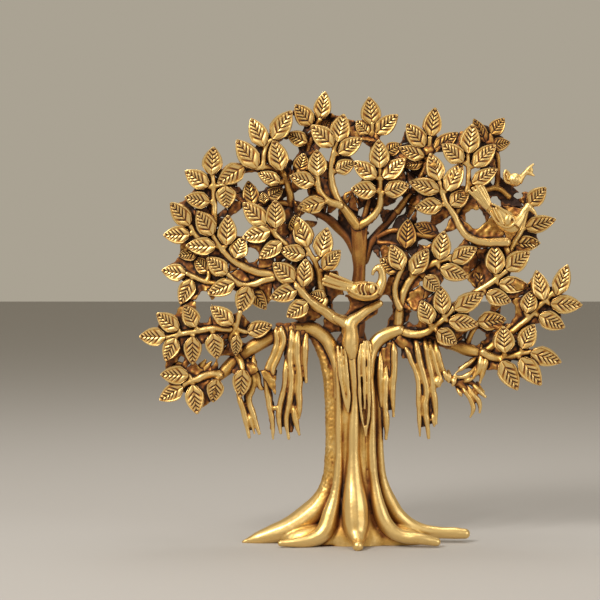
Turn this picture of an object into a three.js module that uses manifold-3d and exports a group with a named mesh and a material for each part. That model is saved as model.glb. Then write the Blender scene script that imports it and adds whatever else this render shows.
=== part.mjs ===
// A cast brass tree of life: a fluted trunk on flared roots, curved limbs, leaf sprays,
// three birds and hanging aerial roots. The tree is a relief, wide and tall but shallow.
// Millimetres, +Z up, origin on the table plane under the trunk, +X to the right as seen
// from the front, and the front faces -Y.
import * as THREE from 'three';
import { mergeVertices } from 'three/addons/utils/BufferGeometryUtils.js';
import Module from 'manifold-3d';

const wasm = await Module();
wasm.setup();

// ---- Driving dimensions ----
const DATUM_DROP = 1.5;        // heights below are measured from a line this far under the table
const GAP = 0.3;               // clearance left where one piece meets another
const LEAF_THICKNESS = 3;
const STALK_RADIUS = 1.4;
const STALK_SIDES = 4;
const FRONT = -15;             // depths of the leaf layers
const MIDDLE = -8;
const TWIG_SWELL = 1.2;        // twigs are this much thicker than their listed radii
const BAR_SIDES = 5;           // sides of twigs and hanging roots
const LIMB_SIDES = 8;          // sides of limbs and floor roots
const BAR_STEP = 14;           // length of one step along a bar
const TRUNK_HEIGHT = 149;
const TRUNK_SIDES = 24;
const TRUNK_STEPS = 8;
const FLUTES = 8;              // ribs round the trunk
const FLUTE_DEPTH = 0.06;
const CUTTER_SIZE = 400;       // block that trims everything under the table plane

// Trunk outline: height, left edge, right edge, half depth.
const TRUNK_PROFILE = [
  [0, -27, 26, 19],
  [20, -25, 23, 18],
  [40, -23, 21, 17],
  [60, -22.5, 19.5, 16],
  [100, -22.5, 18.5, 15],
  [125, -24, 17, 13.5],
  [138, -23, 16, 12],
  [149, -14, 9, 9],
];

// Half-width of a leaf along its length, as shares of its width and length.
const LEAF_OUTLINE = [
  [0, 0.14],
  [0.28, 0.48],
  [0.62, 0.42],
];

const BRASS = { color: 0xc79a4a, roughness: 0.38, metalness: 1 };
const AGED_BRASS = { color: 0x8a5a2c, roughness: 0.5, metalness: 1 };

// ---- Basic shapes. Each takes the amount by which the shape is grown on every side. ----

const point = ([x, y, z]) => new THREE.Vector3(x, y, z - DATUM_DROP);

function valueAlong(values, share) {
  const place = share * (values.length - 1);
  const low = Math.min(Math.floor(place), values.length - 2);
  return THREE.MathUtils.lerp(values[low], values[low + 1], place - low);
}

// A round bar that follows a curve through the points, with radii spread along it.
function bar(points, radii, sides = BAR_SIDES, step = BAR_STEP) {
  return (grow) => {
    const curve = new THREE.CatmullRomCurve3(points.map(point), false, 'centripetal');
    const fewest = points.length > 2 ? 2 : 1;
    const steps = Math.max(fewest, Math.round(curve.getLength() / step));
    const frames = curve.computeFrenetFrames(steps, false);
    const shape = new THREE.CylinderGeometry(1, 1, 1, sides, steps);
    const spots = shape.attributes.position;
    const spot = new THREE.Vector3();
    for (let i = 0; i < spots.count; i += 1) {
      spot.fromBufferAttribute(spots, i);
      const ring = Math.round((spot.y + 0.5) * steps);
      const radius = valueAlong(radii, ring / steps) + grow;
      const centre = curve.getPointAt(ring / steps);
      const end = ring === 0 ? -grow : (ring === steps ? grow : 0);
      centre.addScaledVector(frames.tangents[ring], end);
      centre.addScaledVector(frames.normals[ring], spot.x * radius);
      centre.addScaledVector(frames.binormals[ring], -spot.z * radius);
      spots.setXYZ(i, centre.x, centre.y, centre.z);
    }
    return shape;
  };
}

// A flat ovate leaf from its base to its tip, standing in a plane that faces the front.
function leaf([baseX, baseZ, tipX, tipZ, width], depth) {
  return (grow) => {
    const length = Math.hypot(tipX - baseX, tipZ - baseZ);
    const side = LEAF_OUTLINE.map(([along, half]) => [
      along * (length + 2 * grow) - grow,
      half * (width + 2 * grow) + grow / 2,
    ]);
    const shape = new THREE.Shape();
    shape.moveTo(length + 1.5 * grow, 0);
    [...side].reverse().forEach(([along, half]) => shape.lineTo(along, half));
    side.forEach(([along, half]) => shape.lineTo(along, -half));
    shape.closePath();
    const thickness = LEAF_THICKNESS + 2 * grow;
    const plate = new THREE.ExtrudeGeometry(shape, { depth: thickness, bevelEnabled: false });
    plate.rotateZ(Math.atan2(tipZ - baseZ, tipX - baseX));
    plate.rotateX(Math.PI / 2);
    plate.translate(baseX, depth + thickness / 2, baseZ - DATUM_DROP);
    return plate;
  };
}

// An egg-shaped body, turned about the front-to-back axis.
function egg([x, y, z], [radiusX, radiusY, radiusZ], turn = 0) {
  return (grow) => {
    const shape = new THREE.SphereGeometry(1, 10, 6);
    shape.scale(radiusX + grow, radiusY + grow, radiusZ + grow);
    shape.rotateY(-turn);
    shape.translate(x, y, z - DATUM_DROP);
    return shape;
  };
}

function trunkAt(height, column) {
  const above = TRUNK_PROFILE.findIndex((row) => row[0] >= height);
  const high = Math.max(above, 1);
  const [from, to] = [TRUNK_PROFILE[high - 1], TRUNK_PROFILE[high]];
  const share = (height - from[0]) / (to[0] - from[0]);
  return THREE.MathUtils.lerp(from[column], to[column], share);
}

// The fluted trunk, lofted through its profile.
function trunkLoft(grow) {
  const shape = new THREE.CylinderGeometry(1, 1, 1, TRUNK_SIDES, TRUNK_STEPS);
  const spots = shape.attributes.position;
  for (let i = 0; i < spots.count; i += 1) {
    const height = (spots.getY(i) + 0.5) * TRUNK_HEIGHT;
    const left = trunkAt(height, 1) - grow;
    const right = trunkAt(height, 2) + grow;
    const depth = trunkAt(height, 3) + grow;
    const angle = Math.atan2(spots.getZ(i), spots.getX(i));
    const flute = 1 - FLUTE_DEPTH + FLUTE_DEPTH * Math.cos(FLUTES * angle);
    const across = spots.getX(i) * flute * (right - left) / 2;
    spots.setXYZ(i, (left + right) / 2 + across, -spots.getZ(i) * flute * depth, height);
  }
  return shape;
}

// ---- Pieces: a name, a finish and the shapes that are joined in it ----

const piece = (name, finish, shapes) => ({ name, finish, shapes });

// A twig's path is [x, z] pairs. Its depth runs evenly from its root to its tip.
function twig(path, [rootRadius, tipRadius], [rootDepth, tipDepth]) {
  const points = path.map(([x, z], i) => {
    const share = i / (path.length - 1);
    return [x, THREE.MathUtils.lerp(rootDepth, tipDepth, share), z];
  });
  const radii = [rootRadius * TWIG_SWELL, tipRadius * TWIG_SWELL];
  return { points, shape: bar(points, radii) };
}

function nearestOnTwigs(twigs, x, z) {
  const spots = twigs.flatMap(({ points }) => {
    const curve = new THREE.CatmullRomCurve3(points.map((p) => new THREE.Vector3(...p)));
    return curve.getSpacedPoints(30);
  });
  const away = (spot) => Math.hypot(spot.x - x, spot.z - z);
  return spots.reduce((best, spot) => (away(spot) < away(best) ? spot : best));
}

// A leaf and the short stalk that joins it to the nearest twig.
function leafOnTwig(twigs, row, depth) {
  const [baseX, baseZ, tipX, tipZ] = row;
  const joint = nearestOnTwigs(twigs, baseX, baseZ);
  const inside = [baseX + (tipX - baseX) * 0.3, depth, baseZ + (tipZ - baseZ) * 0.3];
  const stalk = bar([joint.toArray(), inside], [STALK_RADIUS, STALK_RADIUS], STALK_SIDES, 40);
  return [leaf(row, depth), stalk];
}

// A leaf row is [base x, base z, tip x, tip z, width], with an own depth if it has one.
function spray(name, depth, twigs, rows, finish = BRASS) {
  const leaves = rows.flatMap((row) => leafOnTwig(twigs, row, row[5] ?? depth));
  return piece(name, finish, [...twigs.map(({ shape }) => shape), ...leaves]);
}

// A bundle of hanging strands, each given by its path and radius.
function strands(rows, depth) {
  return rows.map(([path, radius, own = depth]) => (
    bar(path.map(([x, z]) => [x, own, z]), [radius * TWIG_SWELL, radius * TWIG_SWELL, radius], 6, 13)
  ));
}

// ---- Trunk, roots and limbs ----

const trunk = () => piece('trunk', BRASS, [trunkLoft]);

function floorRoots() {
  const root = (name, points, radii) => piece(name, BRASS, [bar(points, radii, LIMB_SIDES, 9)]);
  return [
    root('root_left', [[-14, 0, 42], [-26, 0, 26], [-44, 0, 12], [-62, 0, 5.5], [-80, -2, 3]],
      [11, 11, 9, 6, 2.2]),
    root('root_right', [[12, 0, 40], [26, 0, 22], [40, 0, 11], [58, 0, 7], [78, 0, 5.5]],
      [10, 10, 8, 6, 4.5]),
    root('root_front', [[-3, -9, 66], [-3, -13, 40], [-2, -19, 18], [0, -28, 8], [0, -36, 5]],
      [6, 8, 9, 7, 4.5]),
    root('root_front_left', [[-14, -9, 30], [-22, -14, 14], [-34, -19, 7], [-52, -23, 4]],
      [8, 8, 6, 2.6]),
    root('root_front_right', [[13, -9, 30], [20, -14, 15], [33, -19, 8], [54, -22, 5]],
      [8, 8, 6, 3]),
    root('root_back_left', [[-10, 8, 34], [-18, 16, 14], [-27, 24, 7], [-38, 30, 4]],
      [8, 8, 6, 3]),
    root('root_back_right', [[9, 8, 34], [15, 17, 15], [23, 25, 7], [31, 31, 4]],
      [8, 8, 6, 3]),
  ];
}

function frontFlaps() {
  const flap = (name, points, radii) => piece(name, BRASS, [bar(points, radii, BAR_SIDES, 9)]);
  return [
    flap('front_flap_left', [[-12, -11, 142], [-12, -15.5, 126], [-9, -16.5, 108], [-7, -16.5, 95]],
      [3, 4, 3.5, 1.2]),
    flap('front_flap_right', [[5, -11, 144], [5, -15.5, 126], [6, -16.5, 100], [6, -16.5, 78]],
      [2.6, 3.6, 3.2, 1.2]),
  ];
}

function limbs() {
  const limb = (name, points, radii, finish = BRASS) => (
    piece(name, finish, [bar(points, radii, LIMB_SIDES)])
  );
  return [
    limb('limb_left', [[-14, 0, 132], [-22, 0, 146], [-34, 0, 155], [-46, 0, 154], [-58, -1, 149],
      [-70, -2, 143], [-82, -3, 135], [-92, -4, 125], [-98, -4, 119]], [6, 5.6, 5, 5, 5, 3.5]),
    limb('limb_right', [[7, 0, 134], [12, 0, 143], [20, -1, 149], [30, -3, 152]], [5.4, 5, 4.6]),
    limb('limb_right_rear', [[33, -1, 151], [44, 1, 148], [55, 2, 146], [68, 1, 142.5],
      [80, -1, 138], [90, -3, 136]], [3.5, 4.6, 4.6, 4]),
    limb('upper_trunk', [[0, 2, 153], [1, 3, 172], [2, 3, 192], [2, 3, 210], [1, 2, 225]],
      [7, 5.5, 5, 6], AGED_BRASS),
    limb('limb_rear_left', [[-5, 5, 214], [-10, 5, 222], [-20, 4, 231], [-33, 2, 238],
      [-45, 0, 242]], [3.5, 3.2, 2.6], AGED_BRASS),
    limb('limb_rear_right', [[8, 5, 206], [11, 5, 215], [16, 5, 221], [22, 4, 228], [28, 3, 236]],
      [3.5, 3, 2.6], AGED_BRASS),
  ];
}

function fork() {
  const right = bar([[-4, -8, 146], [-3, -10, 157], [4, -11, 164], [10, -11, 168], [15, -10, 171]],
    [6.2, 5, 3.4, 2.8]);
  return piece('fork_front_right', BRASS, [right]);
}

// ---- Birds ----

function birdCentre() {
  return piece('bird_centre', BRASS, [
    egg([5, -17, 180], [12, 6, 7.5], 0.1),
    egg([15, -17, 187], [4.5, 4.5, 8], -0.15),
    egg([14.5, -17, 196], [4.6, 4.2, 4.2]),
    bar([[13, -17, 196], [9, -17, 192]], [1.8, 0.6], 6, 40),
    bar([[0, -17, 181], [-14, -18, 184], [-27, -18, 190]], [4, 3.4, 3.2]),
  ]);
}

function birdRight() {
  return piece('bird_right', BRASS, [
    egg([102, -22, 230], [11, 5, 7], -0.55),
    bar([[107, -22, 228], [113, -22, 234], [118, -22, 238]], [4, 3.4, 3.8]),
    bar([[119, -22, 238], [125, -22, 231]], [1.8, 0.6], 6, 40),
    bar([[97, -22, 233], [88, -22, 242], [80, -22, 253]], [4, 3.5, 4.5]),
  ]);
}

function birdFarRight() {
  return piece('bird_far_right', BRASS, [
    egg([108, -9.5, 258], [7, 4, 5], 0.2),
    bar([[112, -9.5, 257], [117, -9.5, 262], [121, -9.5, 266]], [3, 2.4, 3]),
    bar([[121, -9.5, 266], [124, -9.5, 270]], [1.6, 0.6], 6, 40),
    bar([[104, -9.5, 259], [98, -9.5, 265]], [3, 1.6], 6, 40),
  ]);
}

// ---- Leaf sprays ----

function crownSprays() {
  return [
    spray('spray_crown_left', FRONT, [
      twig([[0, 226], [-8, 237], [-14, 245], [-18, 258], [-18, 268], [-14, 285]], [3, 1.6], [-4, -14]),
    ], [
      [-14, 284, -9.5, 303, 14],
      [-17, 281, -32, 295, 14],
      [-13, 276, 3, 286, 12],
      [-15, 264, -2, 270, 11, FRONT + 1],
    ]),
    spray('spray_crown_left_low', FRONT, [
      twig([[-12, 240], [-20, 243], [-26, 249], [-28, 260]], [2.4, 1.6], [-9, -14]),
    ], [
      [-28, 260, -28, 278, 13.5],
      [-41, 263, -37, 276, 11, MIDDLE],
      [-30, 255, -47, 260, 12],
      [-23, 242, -41.5, 237.5, 12.5],
    ]),
    spray('spray_crown_right', FRONT, [
      twig([[2, 226], [9, 230], [15, 237], [16.5, 245], [16, 255], [15.5, 266]], [2.6, 1.5], [-4, -14]),
    ], [
      [13, 259, -3, 270, 12, FRONT - 1],
      [15.5, 265.5, 15, 285, 14],
      [18, 259, 33, 272, 12.5],
      [13, 250, -4, 251, 13],
      [19, 249, 36, 254, 12.5],
    ]),
  ];
}

function topSprays() {
  return [
    spray('spray_top_left', MIDDLE, [
      twig([[-28, 238], [-33, 254], [-34, 270], [-33, 283], [-28, 296], [-26, 300]], [2.4, 1.5], [1, -8]),
    ], [
      [-26, 300, -22.5, 319, 12],
      [-32, 296, -43, 310, 13],
      [-35, 284, -49, 290, 11],
      [-24, 291, -19, 300, 9, MIDDLE + 2],
    ]),
    spray('spray_top_centre', MIDDLE, [
      twig([[5, 228], [9, 245], [11, 262], [11, 280], [10.5, 297]], [2.4, 1.5], [0, -8]),
    ], [
      [10.5, 296, 8.5, 315, 14],
      [8, 290, 0, 299, 11],
      [13, 290, 28, 303, 12],
      [20, 277, 31, 283, 10, MIDDLE + 2],
    ]),
    spray('spray_top_right', MIDDLE, [
      twig([[29, 236], [36, 246], [44, 258], [50, 273], [51, 287]], [2.4, 1.5], [2, -8]),
    ], [
      [47, 274, 30, 280, 11],
      [46, 270, 33, 268, 9, MIDDLE + 2],
      [51.5, 288, 55, 308, 13],
      [47, 281, 35, 296.5, 13],
      [54, 279, 70.5, 291, 11],
    ]),
    spray('spray_far_top_right', MIDDLE, [
      twig([[81, 250], [91, 251], [99, 252], [107, 246]], [2, 1.6], [-9, -3.5]),
      twig([[98, 252], [99, 264], [98, 276], [94, 284]], [1.8, 1.5], [-5, -8]),
    ], [
      [90, 284, 82, 300, 9],
      [94, 290, 103, 301, 10.5],
      [94, 282, 107, 284, 9.5],
    ], AGED_BRASS),
  ];
}

function upperLeftSprays() {
  return [
    spray('spray_outer_upper_left', FRONT, [
      twig([[-101, 221], [-100, 232], [-100, 248], [-101, 262]], [2.2, 1.5], [-12, -14]),
    ], [
      [-102, 261, -100, 280, 14],
      [-104, 253, -120, 263.5, 13],
      [-103, 242, -120, 245, 12],
      [-92, 253, -91, 238, 14],
    ]),
    spray('spray_upper_left', FRONT, [
      twig([[-46, 241], [-47, 248], [-52, 262], [-60, 266], [-69, 266]], [2.6, 1.8], [-2, -14]),
      twig([[-66, 266], [-65, 275], [-62, 284]], [2, 1.6], [-13, -14]),
    ], [
      [-70, 266, -84, 285, 14.5],
      [-65, 281, -74, 300, 13],
      [-59, 286, -46, 305, 14],
      [-53, 264, -58, 285, 14, FRONT - 1],
      [-54, 256, -69, 262, 10],
      [-79, 267, -97, 255, 14, FRONT + 1],
    ]),
    spray('spray_upper_left_low', MIDDLE, [
      twig([[-47, 241], [-56, 242], [-65, 241], [-74, 239]], [2, 1.5], [-2, -7]),
    ], [
      [-63, 245, -52, 252, 10],
      [-65, 241, -66, 249, 7],
      [-73, 239, -76, 257, 12],
    ]),
    spray('spray_mid_left', FRONT, [
      twig([[-37, 201], [-44, 206], [-52, 214], [-58, 220], [-64, 226]], [2.4, 1.6], [-10, -14]),
    ], [
      [-57, 224, -57, 243, 14],
      [-64, 226.5, -79.5, 241, 14],
      [-61, 222, -80, 217, 13, FRONT - 1],
      [-53, 214, -68, 203, 11],
    ]),
    spray('spray_centre_left', FRONT, [
      twig([[-23, 170], [-25, 180], [-26, 190], [-29, 199], [-36, 211]], [2.6, 1.6], [-7, -14]),
    ], [
      [-26, 204, -21, 224, 14],
      [-24, 195, -12, 208, 12],
      [-36.5, 205, -53.5, 208.5, 12],
      [-35, 211, -42, 231, 14],
      [-44, 220, -43, 233, 9, MIDDLE],
    ]),
  ];
}

function leftSprays() {
  return [
    spray('spray_left_arm', FRONT, [
      twig([[-44, 184], [-58, 191], [-70, 193], [-80, 197], [-89, 203], [-96, 211], [-101, 219]],
        [2.8, 1.6], [-11, -14]),
      twig([[-98, 212], [-108, 214], [-117, 226]], [1.8, 1.5], [-13, -14]),
    ], [
      [-117, 226, -130, 241, 13],
      [-117, 219.5, -135, 219, 12.5],
      [-101, 219, -111.5, 235, 14, FRONT - 1],
      [-91.5, 212, -90, 232.5, 13.5],
      [-99, 211, -119.5, 211.5, 12.5, FRONT - 1],
      [-112, 207, -125, 204.5, 10, MIDDLE],
      [-85, 203, -80, 217, 13],
    ]),
    spray('spray_left_arm_low', FRONT, [
      twig([[-59, 189], [-66, 187], [-73, 184.5], [-80, 184], [-86, 187], [-91, 192]], [2.2, 1.6], [-12, -14]),
    ], [
      [-91, 192, -104.5, 203, 12.5],
      [-86, 186, -104, 178, 12],
      [-76, 183, -82, 165, 13.5],
      [-74, 181, -64, 167, 11, MIDDLE],
    ]),
    spray('spray_left_outer', MIDDLE, [
      twig([[-87, 185], [-99, 185], [-108, 187], [-119, 192]], [2, 1.5], [-10, -8]),
    ], [
      [-104, 193, -114, 203, 11],
      [-120, 192, -137, 194.5, 12],
      [-116, 188, -124, 171, 12],
    ]),
    spray('spray_fork_left', FRONT, [
      twig([[-6, 152], [-8, 158], [-14, 160], [-22, 165.5], [-32, 172], [-42, 183]], [4, 2.6], [-8, -14]),
    ], [
      [-44, 187, -58.5, 199, 14],
      [-38, 183, -36, 202, 12.5],
      [-42, 181, -60.5, 175, 12.5],
      [-35, 172, -49, 162, 13],
      [-22, 174, -33, 178, 11, FRONT + 4],
    ]),
    spray('spray_low_left', FRONT, [
      twig([[-82, 138], [-88, 146], [-85, 155], [-82, 165]], [2.4, 1.6], [-6, -14]),
    ], [
      [-87, 157, -102, 169, 12.5],
      [-84, 149, -85, 135, 8],
      [-77, 151, -60, 156, 12, MIDDLE - 2],
    ]),
    spray('spray_far_left', FRONT, [
      twig([[-89, 153], [-101, 153.5], [-114, 151.5], [-125, 149.5], [-134, 147]], [2.2, 1.5], [-11, -14]),
    ], [
      [-125, 153, -140, 164, 12.5],
      [-113, 155, -120, 170, 12.5],
      [-134, 148, -152, 148, 13],
      [-127, 147, -134, 131.5, 12],
      [-115, 148, -115, 129, 12.5],
      [-101, 150, -98, 133, 13],
    ]),
    spray('spray_bottom_left', FRONT, [
      twig([[-97, 121], [-104, 121], [-112, 118], [-121, 115]], [2.8, 1.8], [-9, -14]),
    ], [
      [-118, 121, -137, 121.5, 13],
      [-122, 113, -138, 104, 12],
      [-115, 114, -112, 94.5, 13],
      [-98, 118, -101, 102, 12],
    ]),
    spray('spray_below_limb_left', FRONT, [
      twig([[-84, 134], [-81, 129], [-80, 124]], [2, 1.6], [-8, -13]),
    ], [
      [-80, 125, -82, 105.5, 13],
    ]),
  ];
}

function rightSprays() {
  return [
    spray('spray_right_front', FRONT, [
      twig([[104, 214], [95, 214], [85, 214.5], [77, 218], [72, 224], [67, 234], [61, 243], [57, 257]],
        [2.8, 1.6], [-14, -14]),
    ], [
      [57, 257, 51, 276, 13],
      [57, 250, 36.5, 255.5, 12],
      [59, 240, 40.5, 238, 12],
      [62, 250, 73, 269, 13, FRONT - 1],
      [65, 240, 78, 250, 12],
    ]),
    spray('spray_right_crown', FRONT, [
      twig([[69, 235], [74, 244], [77, 252], [77, 276]], [2, 1.5], [-10.5, -13]),
    ], [
      [77, 276, 80.5, 296, 14],
      [73.5, 270, 59.5, 282, 13],
      [81, 267, 96, 282, 12.5],
      [80, 255, 97, 265, 11],
    ]),
    spray('spray_right_outer', MIDDLE, [
      twig([[106, 205], [110, 214], [116, 224], [119, 238]], [2, 1.5], [-9.5, -8]),
    ], [
      [120, 240, 132, 252, 12],
      [118, 224, 139, 230, 12],
      [112, 213, 129, 213.5, 11],
    ]),
    spray('spray_right_mid', FRONT, [
      twig([[67, 168], [75, 174], [85, 180], [94, 186], [104, 194]], [2.6, 1.6], [-11, -14]),
      twig([[103, 193], [106, 203], [103, 213]], [2, 1.6], [-11, -12]),
    ], [
      [104, 195, 120, 207, 14],
      [96.5, 192, 96, 212, 14],
      [86, 183, 87, 201, 10, MIDDLE],
      [99, 185, 120, 183.5, 12],
      [90, 178, 107, 172.5, 12],
    ]),
    spray('spray_centre_right', FRONT, [
      twig([[29, 153], [30, 165], [32, 176], [37, 187], [45, 195], [54, 199.5], [65, 204]], [3, 1.8], [-4, -14]),
    ], [
      [47, 190, 57, 180, 12],
      [58, 196, 77, 189.5, 12],
      [66, 201, 83, 210, 12.5],
      [57, 202, 60.5, 221.5, 13.5],
      [38, 192, 49, 209, 13],
    ]),
    spray('spray_centre_right_small', FRONT, [
      twig([[30, 168], [26.5, 178], [28, 188], [32, 197]], [2, 1.5], [-9, -14]),
    ], [
      [31, 195, 24, 212, 13],
      [30, 194, 16, 202, 12, FRONT + 3],
    ]),
    spray('spray_rear_right', MIDDLE, [
      twig([[15, 218], [24, 222], [31, 222], [40, 220]], [1.8, 1.4], [2, -6]),
      twig([[16, 214], [24, 213], [33, 211]], [1.8, 1.4], [2, -6]),
    ], [
      [34, 210, 36, 230, 13.5],
      [57, 220, 41, 227, 11, MIDDLE + 3],
    ], AGED_BRASS),
    spray('spray_low_right_front', FRONT, [
      twig([[30, 152], [38, 149.5], [46, 150], [54, 155], [61, 161], [67, 168]], [2.8, 1.6], [-5, -14]),
    ], [
      [68, 167, 88, 178, 13],
      [64, 159, 84, 157, 12.5],
      [56, 152, 69, 143, 12.5],
      [51, 157, 45, 173, 13],
      [60, 164, 58, 183, 12.5],
    ]),
    spray('spray_far_right', FRONT, [
      twig([[92, 138], [101, 146], [110, 152], [118, 159], [126, 168], [137, 179]], [2.4, 1.6], [-6, -14]),
    ], [
      [130, 174, 125.5, 194, 12.5],
      [139, 177, 146, 198, 12],
      [135, 171, 156.5, 170, 13],
      [127, 163, 144.5, 154.5, 13],
      [118, 165, 122, 180, 12],
    ]),
    spray('spray_low_right', FRONT, [
      twig([[89, 136.5], [97, 133], [106, 133.5], [116, 136.5], [122, 137.5]], [2.6, 1.6], [-8, -14]),
    ], [
      [103, 137, 102, 155, 15, FRONT - 1],
      [115, 140, 123.5, 156.5, 13],
      [121, 137, 142, 130, 13],
      [101, 131, 112, 111, 14],
      [114, 133, 128, 114.5, 14],
    ]),
    spray('spray_above_limb_right', MIDDLE, [
      twig([[78, 140], [80, 148], [85, 157]], [2, 1.6], [-1, -7]),
    ], [
      [85, 158, 104.5, 160, 13.5],
    ]),
  ];
}

// ---- Hanging aerial roots ----

function aerialRoots() {
  return [
    piece('aerial_roots_left', BRASS, strands([
      [[[-60, 153], [-50, 154], [-37, 152]], 2.2],
      [[[-58, 153], [-58, 142], [-60, 134], [-62, 122], [-62, 100], [-60, 73]], 1.9],
      [[[-54, 154], [-55, 138], [-58.5, 122], [-59, 110], [-57, 97]], 1.6],
      [[[-48, 154], [-47.5, 135], [-47.5, 110], [-50, 95], [-51, 74]], 2],
      [[[-43, 153], [-43, 125], [-43, 95], [-39.5, 79]], 1.9],
      [[[-38, 152], [-36, 140], [-36, 125], [-37, 113]], 1.6],
    ], -7.4)),
    piece('aerial_roots_far_left', BRASS, strands([
      [[[-80, 131], [-75, 134], [-69, 137]], 2],
      [[[-77, 133], [-75, 113], [-80, 102], [-78, 85], [-76, 74]], 1.9],
      [[[-76, 112], [-74, 100], [-72, 88], [-69, 79]], 1.7],
      [[[-72, 135], [-71, 120], [-66, 110]], 1.6],
    ], -6)),
    piece('aerial_roots_wrap_left', BRASS, [
      bar([[-114, -7, 126], [-108, -10, 128], [-101, -7, 131]], [1.6, 1.8, 1.4]),
      bar([[-113, -7, 122], [-108, -10, 124], [-100, -7, 127]], [1.6, 1.8, 1.4]),
      bar([[-108, -9, 122], [-107, -9, 130]], [1.6, 1.6]),
    ]),
    piece('aerial_roots_beside_trunk', BRASS, strands([
      [[[18, 135], [18.5, 110], [19.5, 90], [20, 74]], 2],
      [[[22, 122], [22.5, 105], [23, 88]], 1.8],
      [[[24, 140], [26, 120], [26, 90]], 1.6],
      [[[17, 124], [26, 122]], 1.8],
    ], -3)),
    piece('aerial_roots_right', BRASS, strands([
      [[[28, 139], [38, 126], [42, 113], [43, 97], [44, 77]], 1.9],
      [[[42, 141], [44, 125], [48, 112], [48, 95], [51, 76]], 1.9],
      [[[48, 142], [51, 124], [54, 110], [54.5, 97], [55, 86]], 1.7],
      [[[54, 141], [57, 130], [61, 121], [58, 112]], 2],
      [[[28, 141], [40, 143], [55, 142]], 2],
      [[[53, 114], [60, 116]], 2],
    ], -6)),
    piece('aerial_roots_wrap_right', BRASS, strands([
      [[[88, 130], [80, 127], [70, 120]], 2],
      [[[91, 131], [90, 124], [86, 115]], 1.8],
      [[[88, 127], [79, 121], [70, 119]], 1.8],
      [[[70, 120], [77, 108], [85, 99], [79.5, 90]], 1.8],
      [[[76, 119], [83, 111], [91, 103]], 1.6],
      [[[60, 130], [64, 122], [68, 113], [78, 106]], 1.8],
    ], -6)),
  ];
}

// ---- Assembly ----

// Earlier pieces stay whole, and later ones are cut back from them.
function allPieces() {
  return [
    trunk(),
    ...limbs(),
    birdCentre(),
    birdRight(),
    birdFarRight(),
    ...floorRoots(),
    ...frontFlaps(),
    fork(),
    ...crownSprays(),
    ...upperLeftSprays(),
    ...leftSprays(),
    ...rightSprays(),
    ...topSprays(),
    ...aerialRoots(),
  ];
}

function solid(shape) {
  const plain = shape.index ? shape.toNonIndexed() : shape;
  plain.deleteAttribute('normal');
  plain.deleteAttribute('uv');
  const merged = mergeVertices(plain, 1e-3);
  return new wasm.Manifold(new wasm.Mesh({
    numProp: 3,
    vertProperties: new Float32Array(merged.attributes.position.array),
    triVerts: new Uint32Array(merged.index.array),
  }));
}

const joined = (shapes, grow) => shapes.map((shape) => solid(shape(grow))).reduce((a, b) => a.add(b));

function largest(body) {
  return body.decompose().reduce((a, b) => (a.volume() > b.volume() ? a : b));
}

function underTable() {
  const block = new THREE.BoxGeometry(CUTTER_SIZE, CUTTER_SIZE, CUTTER_SIZE);
  block.translate(0, 0, -CUTTER_SIZE / 2);
  return solid(block);
}

function toMesh({ name, finish }, body) {
  const { vertProperties, triVerts } = body.getMesh();
  const shape = new THREE.BufferGeometry();
  shape.setAttribute('position', new THREE.BufferAttribute(vertProperties, 3));
  shape.setIndex(new THREE.BufferAttribute(triVerts, 1));
  shape.computeVertexNormals();
  const mesh = new THREE.Mesh(shape, new THREE.MeshStandardMaterial(finish));
  mesh.name = name;
  return mesh;
}

const near = (a, b) => ['x', 'y', 'z'].every((axis, i) => (
  a.boundingBox().min[i] < b.boundingBox().max[i] && b.boundingBox().min[i] < a.boundingBox().max[i]
));

function assemble() {
  const tree = new THREE.Group();
  const table = underTable();
  const placed = [];
  for (const item of allPieces()) {
    let body = joined(item.shapes, 0).subtract(table);
    for (const other of placed) {
      if (near(body, other)) body = body.subtract(other);
    }
    tree.add(toMesh(item, largest(body)));
    placed.push(joined(item.shapes, GAP));
  }
  return tree;
}

export default assemble();
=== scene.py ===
"""A cast brass tree of life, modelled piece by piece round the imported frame."""
import math
import bpy
import numpy as np
from mathutils import Matrix, Vector, noise
from mathutils.bvhtree import BVHTree
from mathutils.geometry import delaunay_2d_cdt


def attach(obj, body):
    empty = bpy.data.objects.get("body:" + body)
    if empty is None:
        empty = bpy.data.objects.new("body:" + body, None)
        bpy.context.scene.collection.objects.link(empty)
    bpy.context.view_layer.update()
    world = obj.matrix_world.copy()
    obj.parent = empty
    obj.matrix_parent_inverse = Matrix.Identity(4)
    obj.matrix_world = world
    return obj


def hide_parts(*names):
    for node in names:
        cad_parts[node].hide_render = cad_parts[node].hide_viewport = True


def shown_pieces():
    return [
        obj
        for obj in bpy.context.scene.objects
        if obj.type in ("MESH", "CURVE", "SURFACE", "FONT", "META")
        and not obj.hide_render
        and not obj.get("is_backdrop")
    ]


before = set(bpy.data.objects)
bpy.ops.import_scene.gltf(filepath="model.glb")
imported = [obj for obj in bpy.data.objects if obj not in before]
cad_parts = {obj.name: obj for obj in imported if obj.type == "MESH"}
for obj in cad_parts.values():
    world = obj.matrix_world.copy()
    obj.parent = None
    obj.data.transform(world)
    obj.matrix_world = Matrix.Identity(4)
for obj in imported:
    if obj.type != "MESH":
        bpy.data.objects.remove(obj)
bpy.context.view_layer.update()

bl_info = {
    "name": "Cast Brass Tree of Life",
    "version": (1, 0, 0),
    "blender": (4, 5, 0),
    "location": "3D View > Sidebar > Brass Tree",
    "description": "Models a cast brass tree of life with leaf sprays, birds and aerial roots",
    "category": "Add Mesh",
}

MM = 0.001
BODY = "root"
GOLD_SLOT = "antique_brass"
# The slot of pieces further back in the tree, whose finish is darker all over.
REAR_SLOT = "aged_brass"

# Depths of the leaf layers, in mm. The front of the tree faces -Y.
FRONT = -15
MIDDLE = -8
# The heights in the tables are taken from a line this far under the table plane, in mm.
DATUM_DROP = 1.5


# ---- Tables: every path and leaf of the tree, in mm ----


def twig(path, radii, depths):
    """A twig: its [x, z] path, its first and last radius and its first and last depth."""
    return {"path": path, "radii": radii, "depths": depths}


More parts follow.
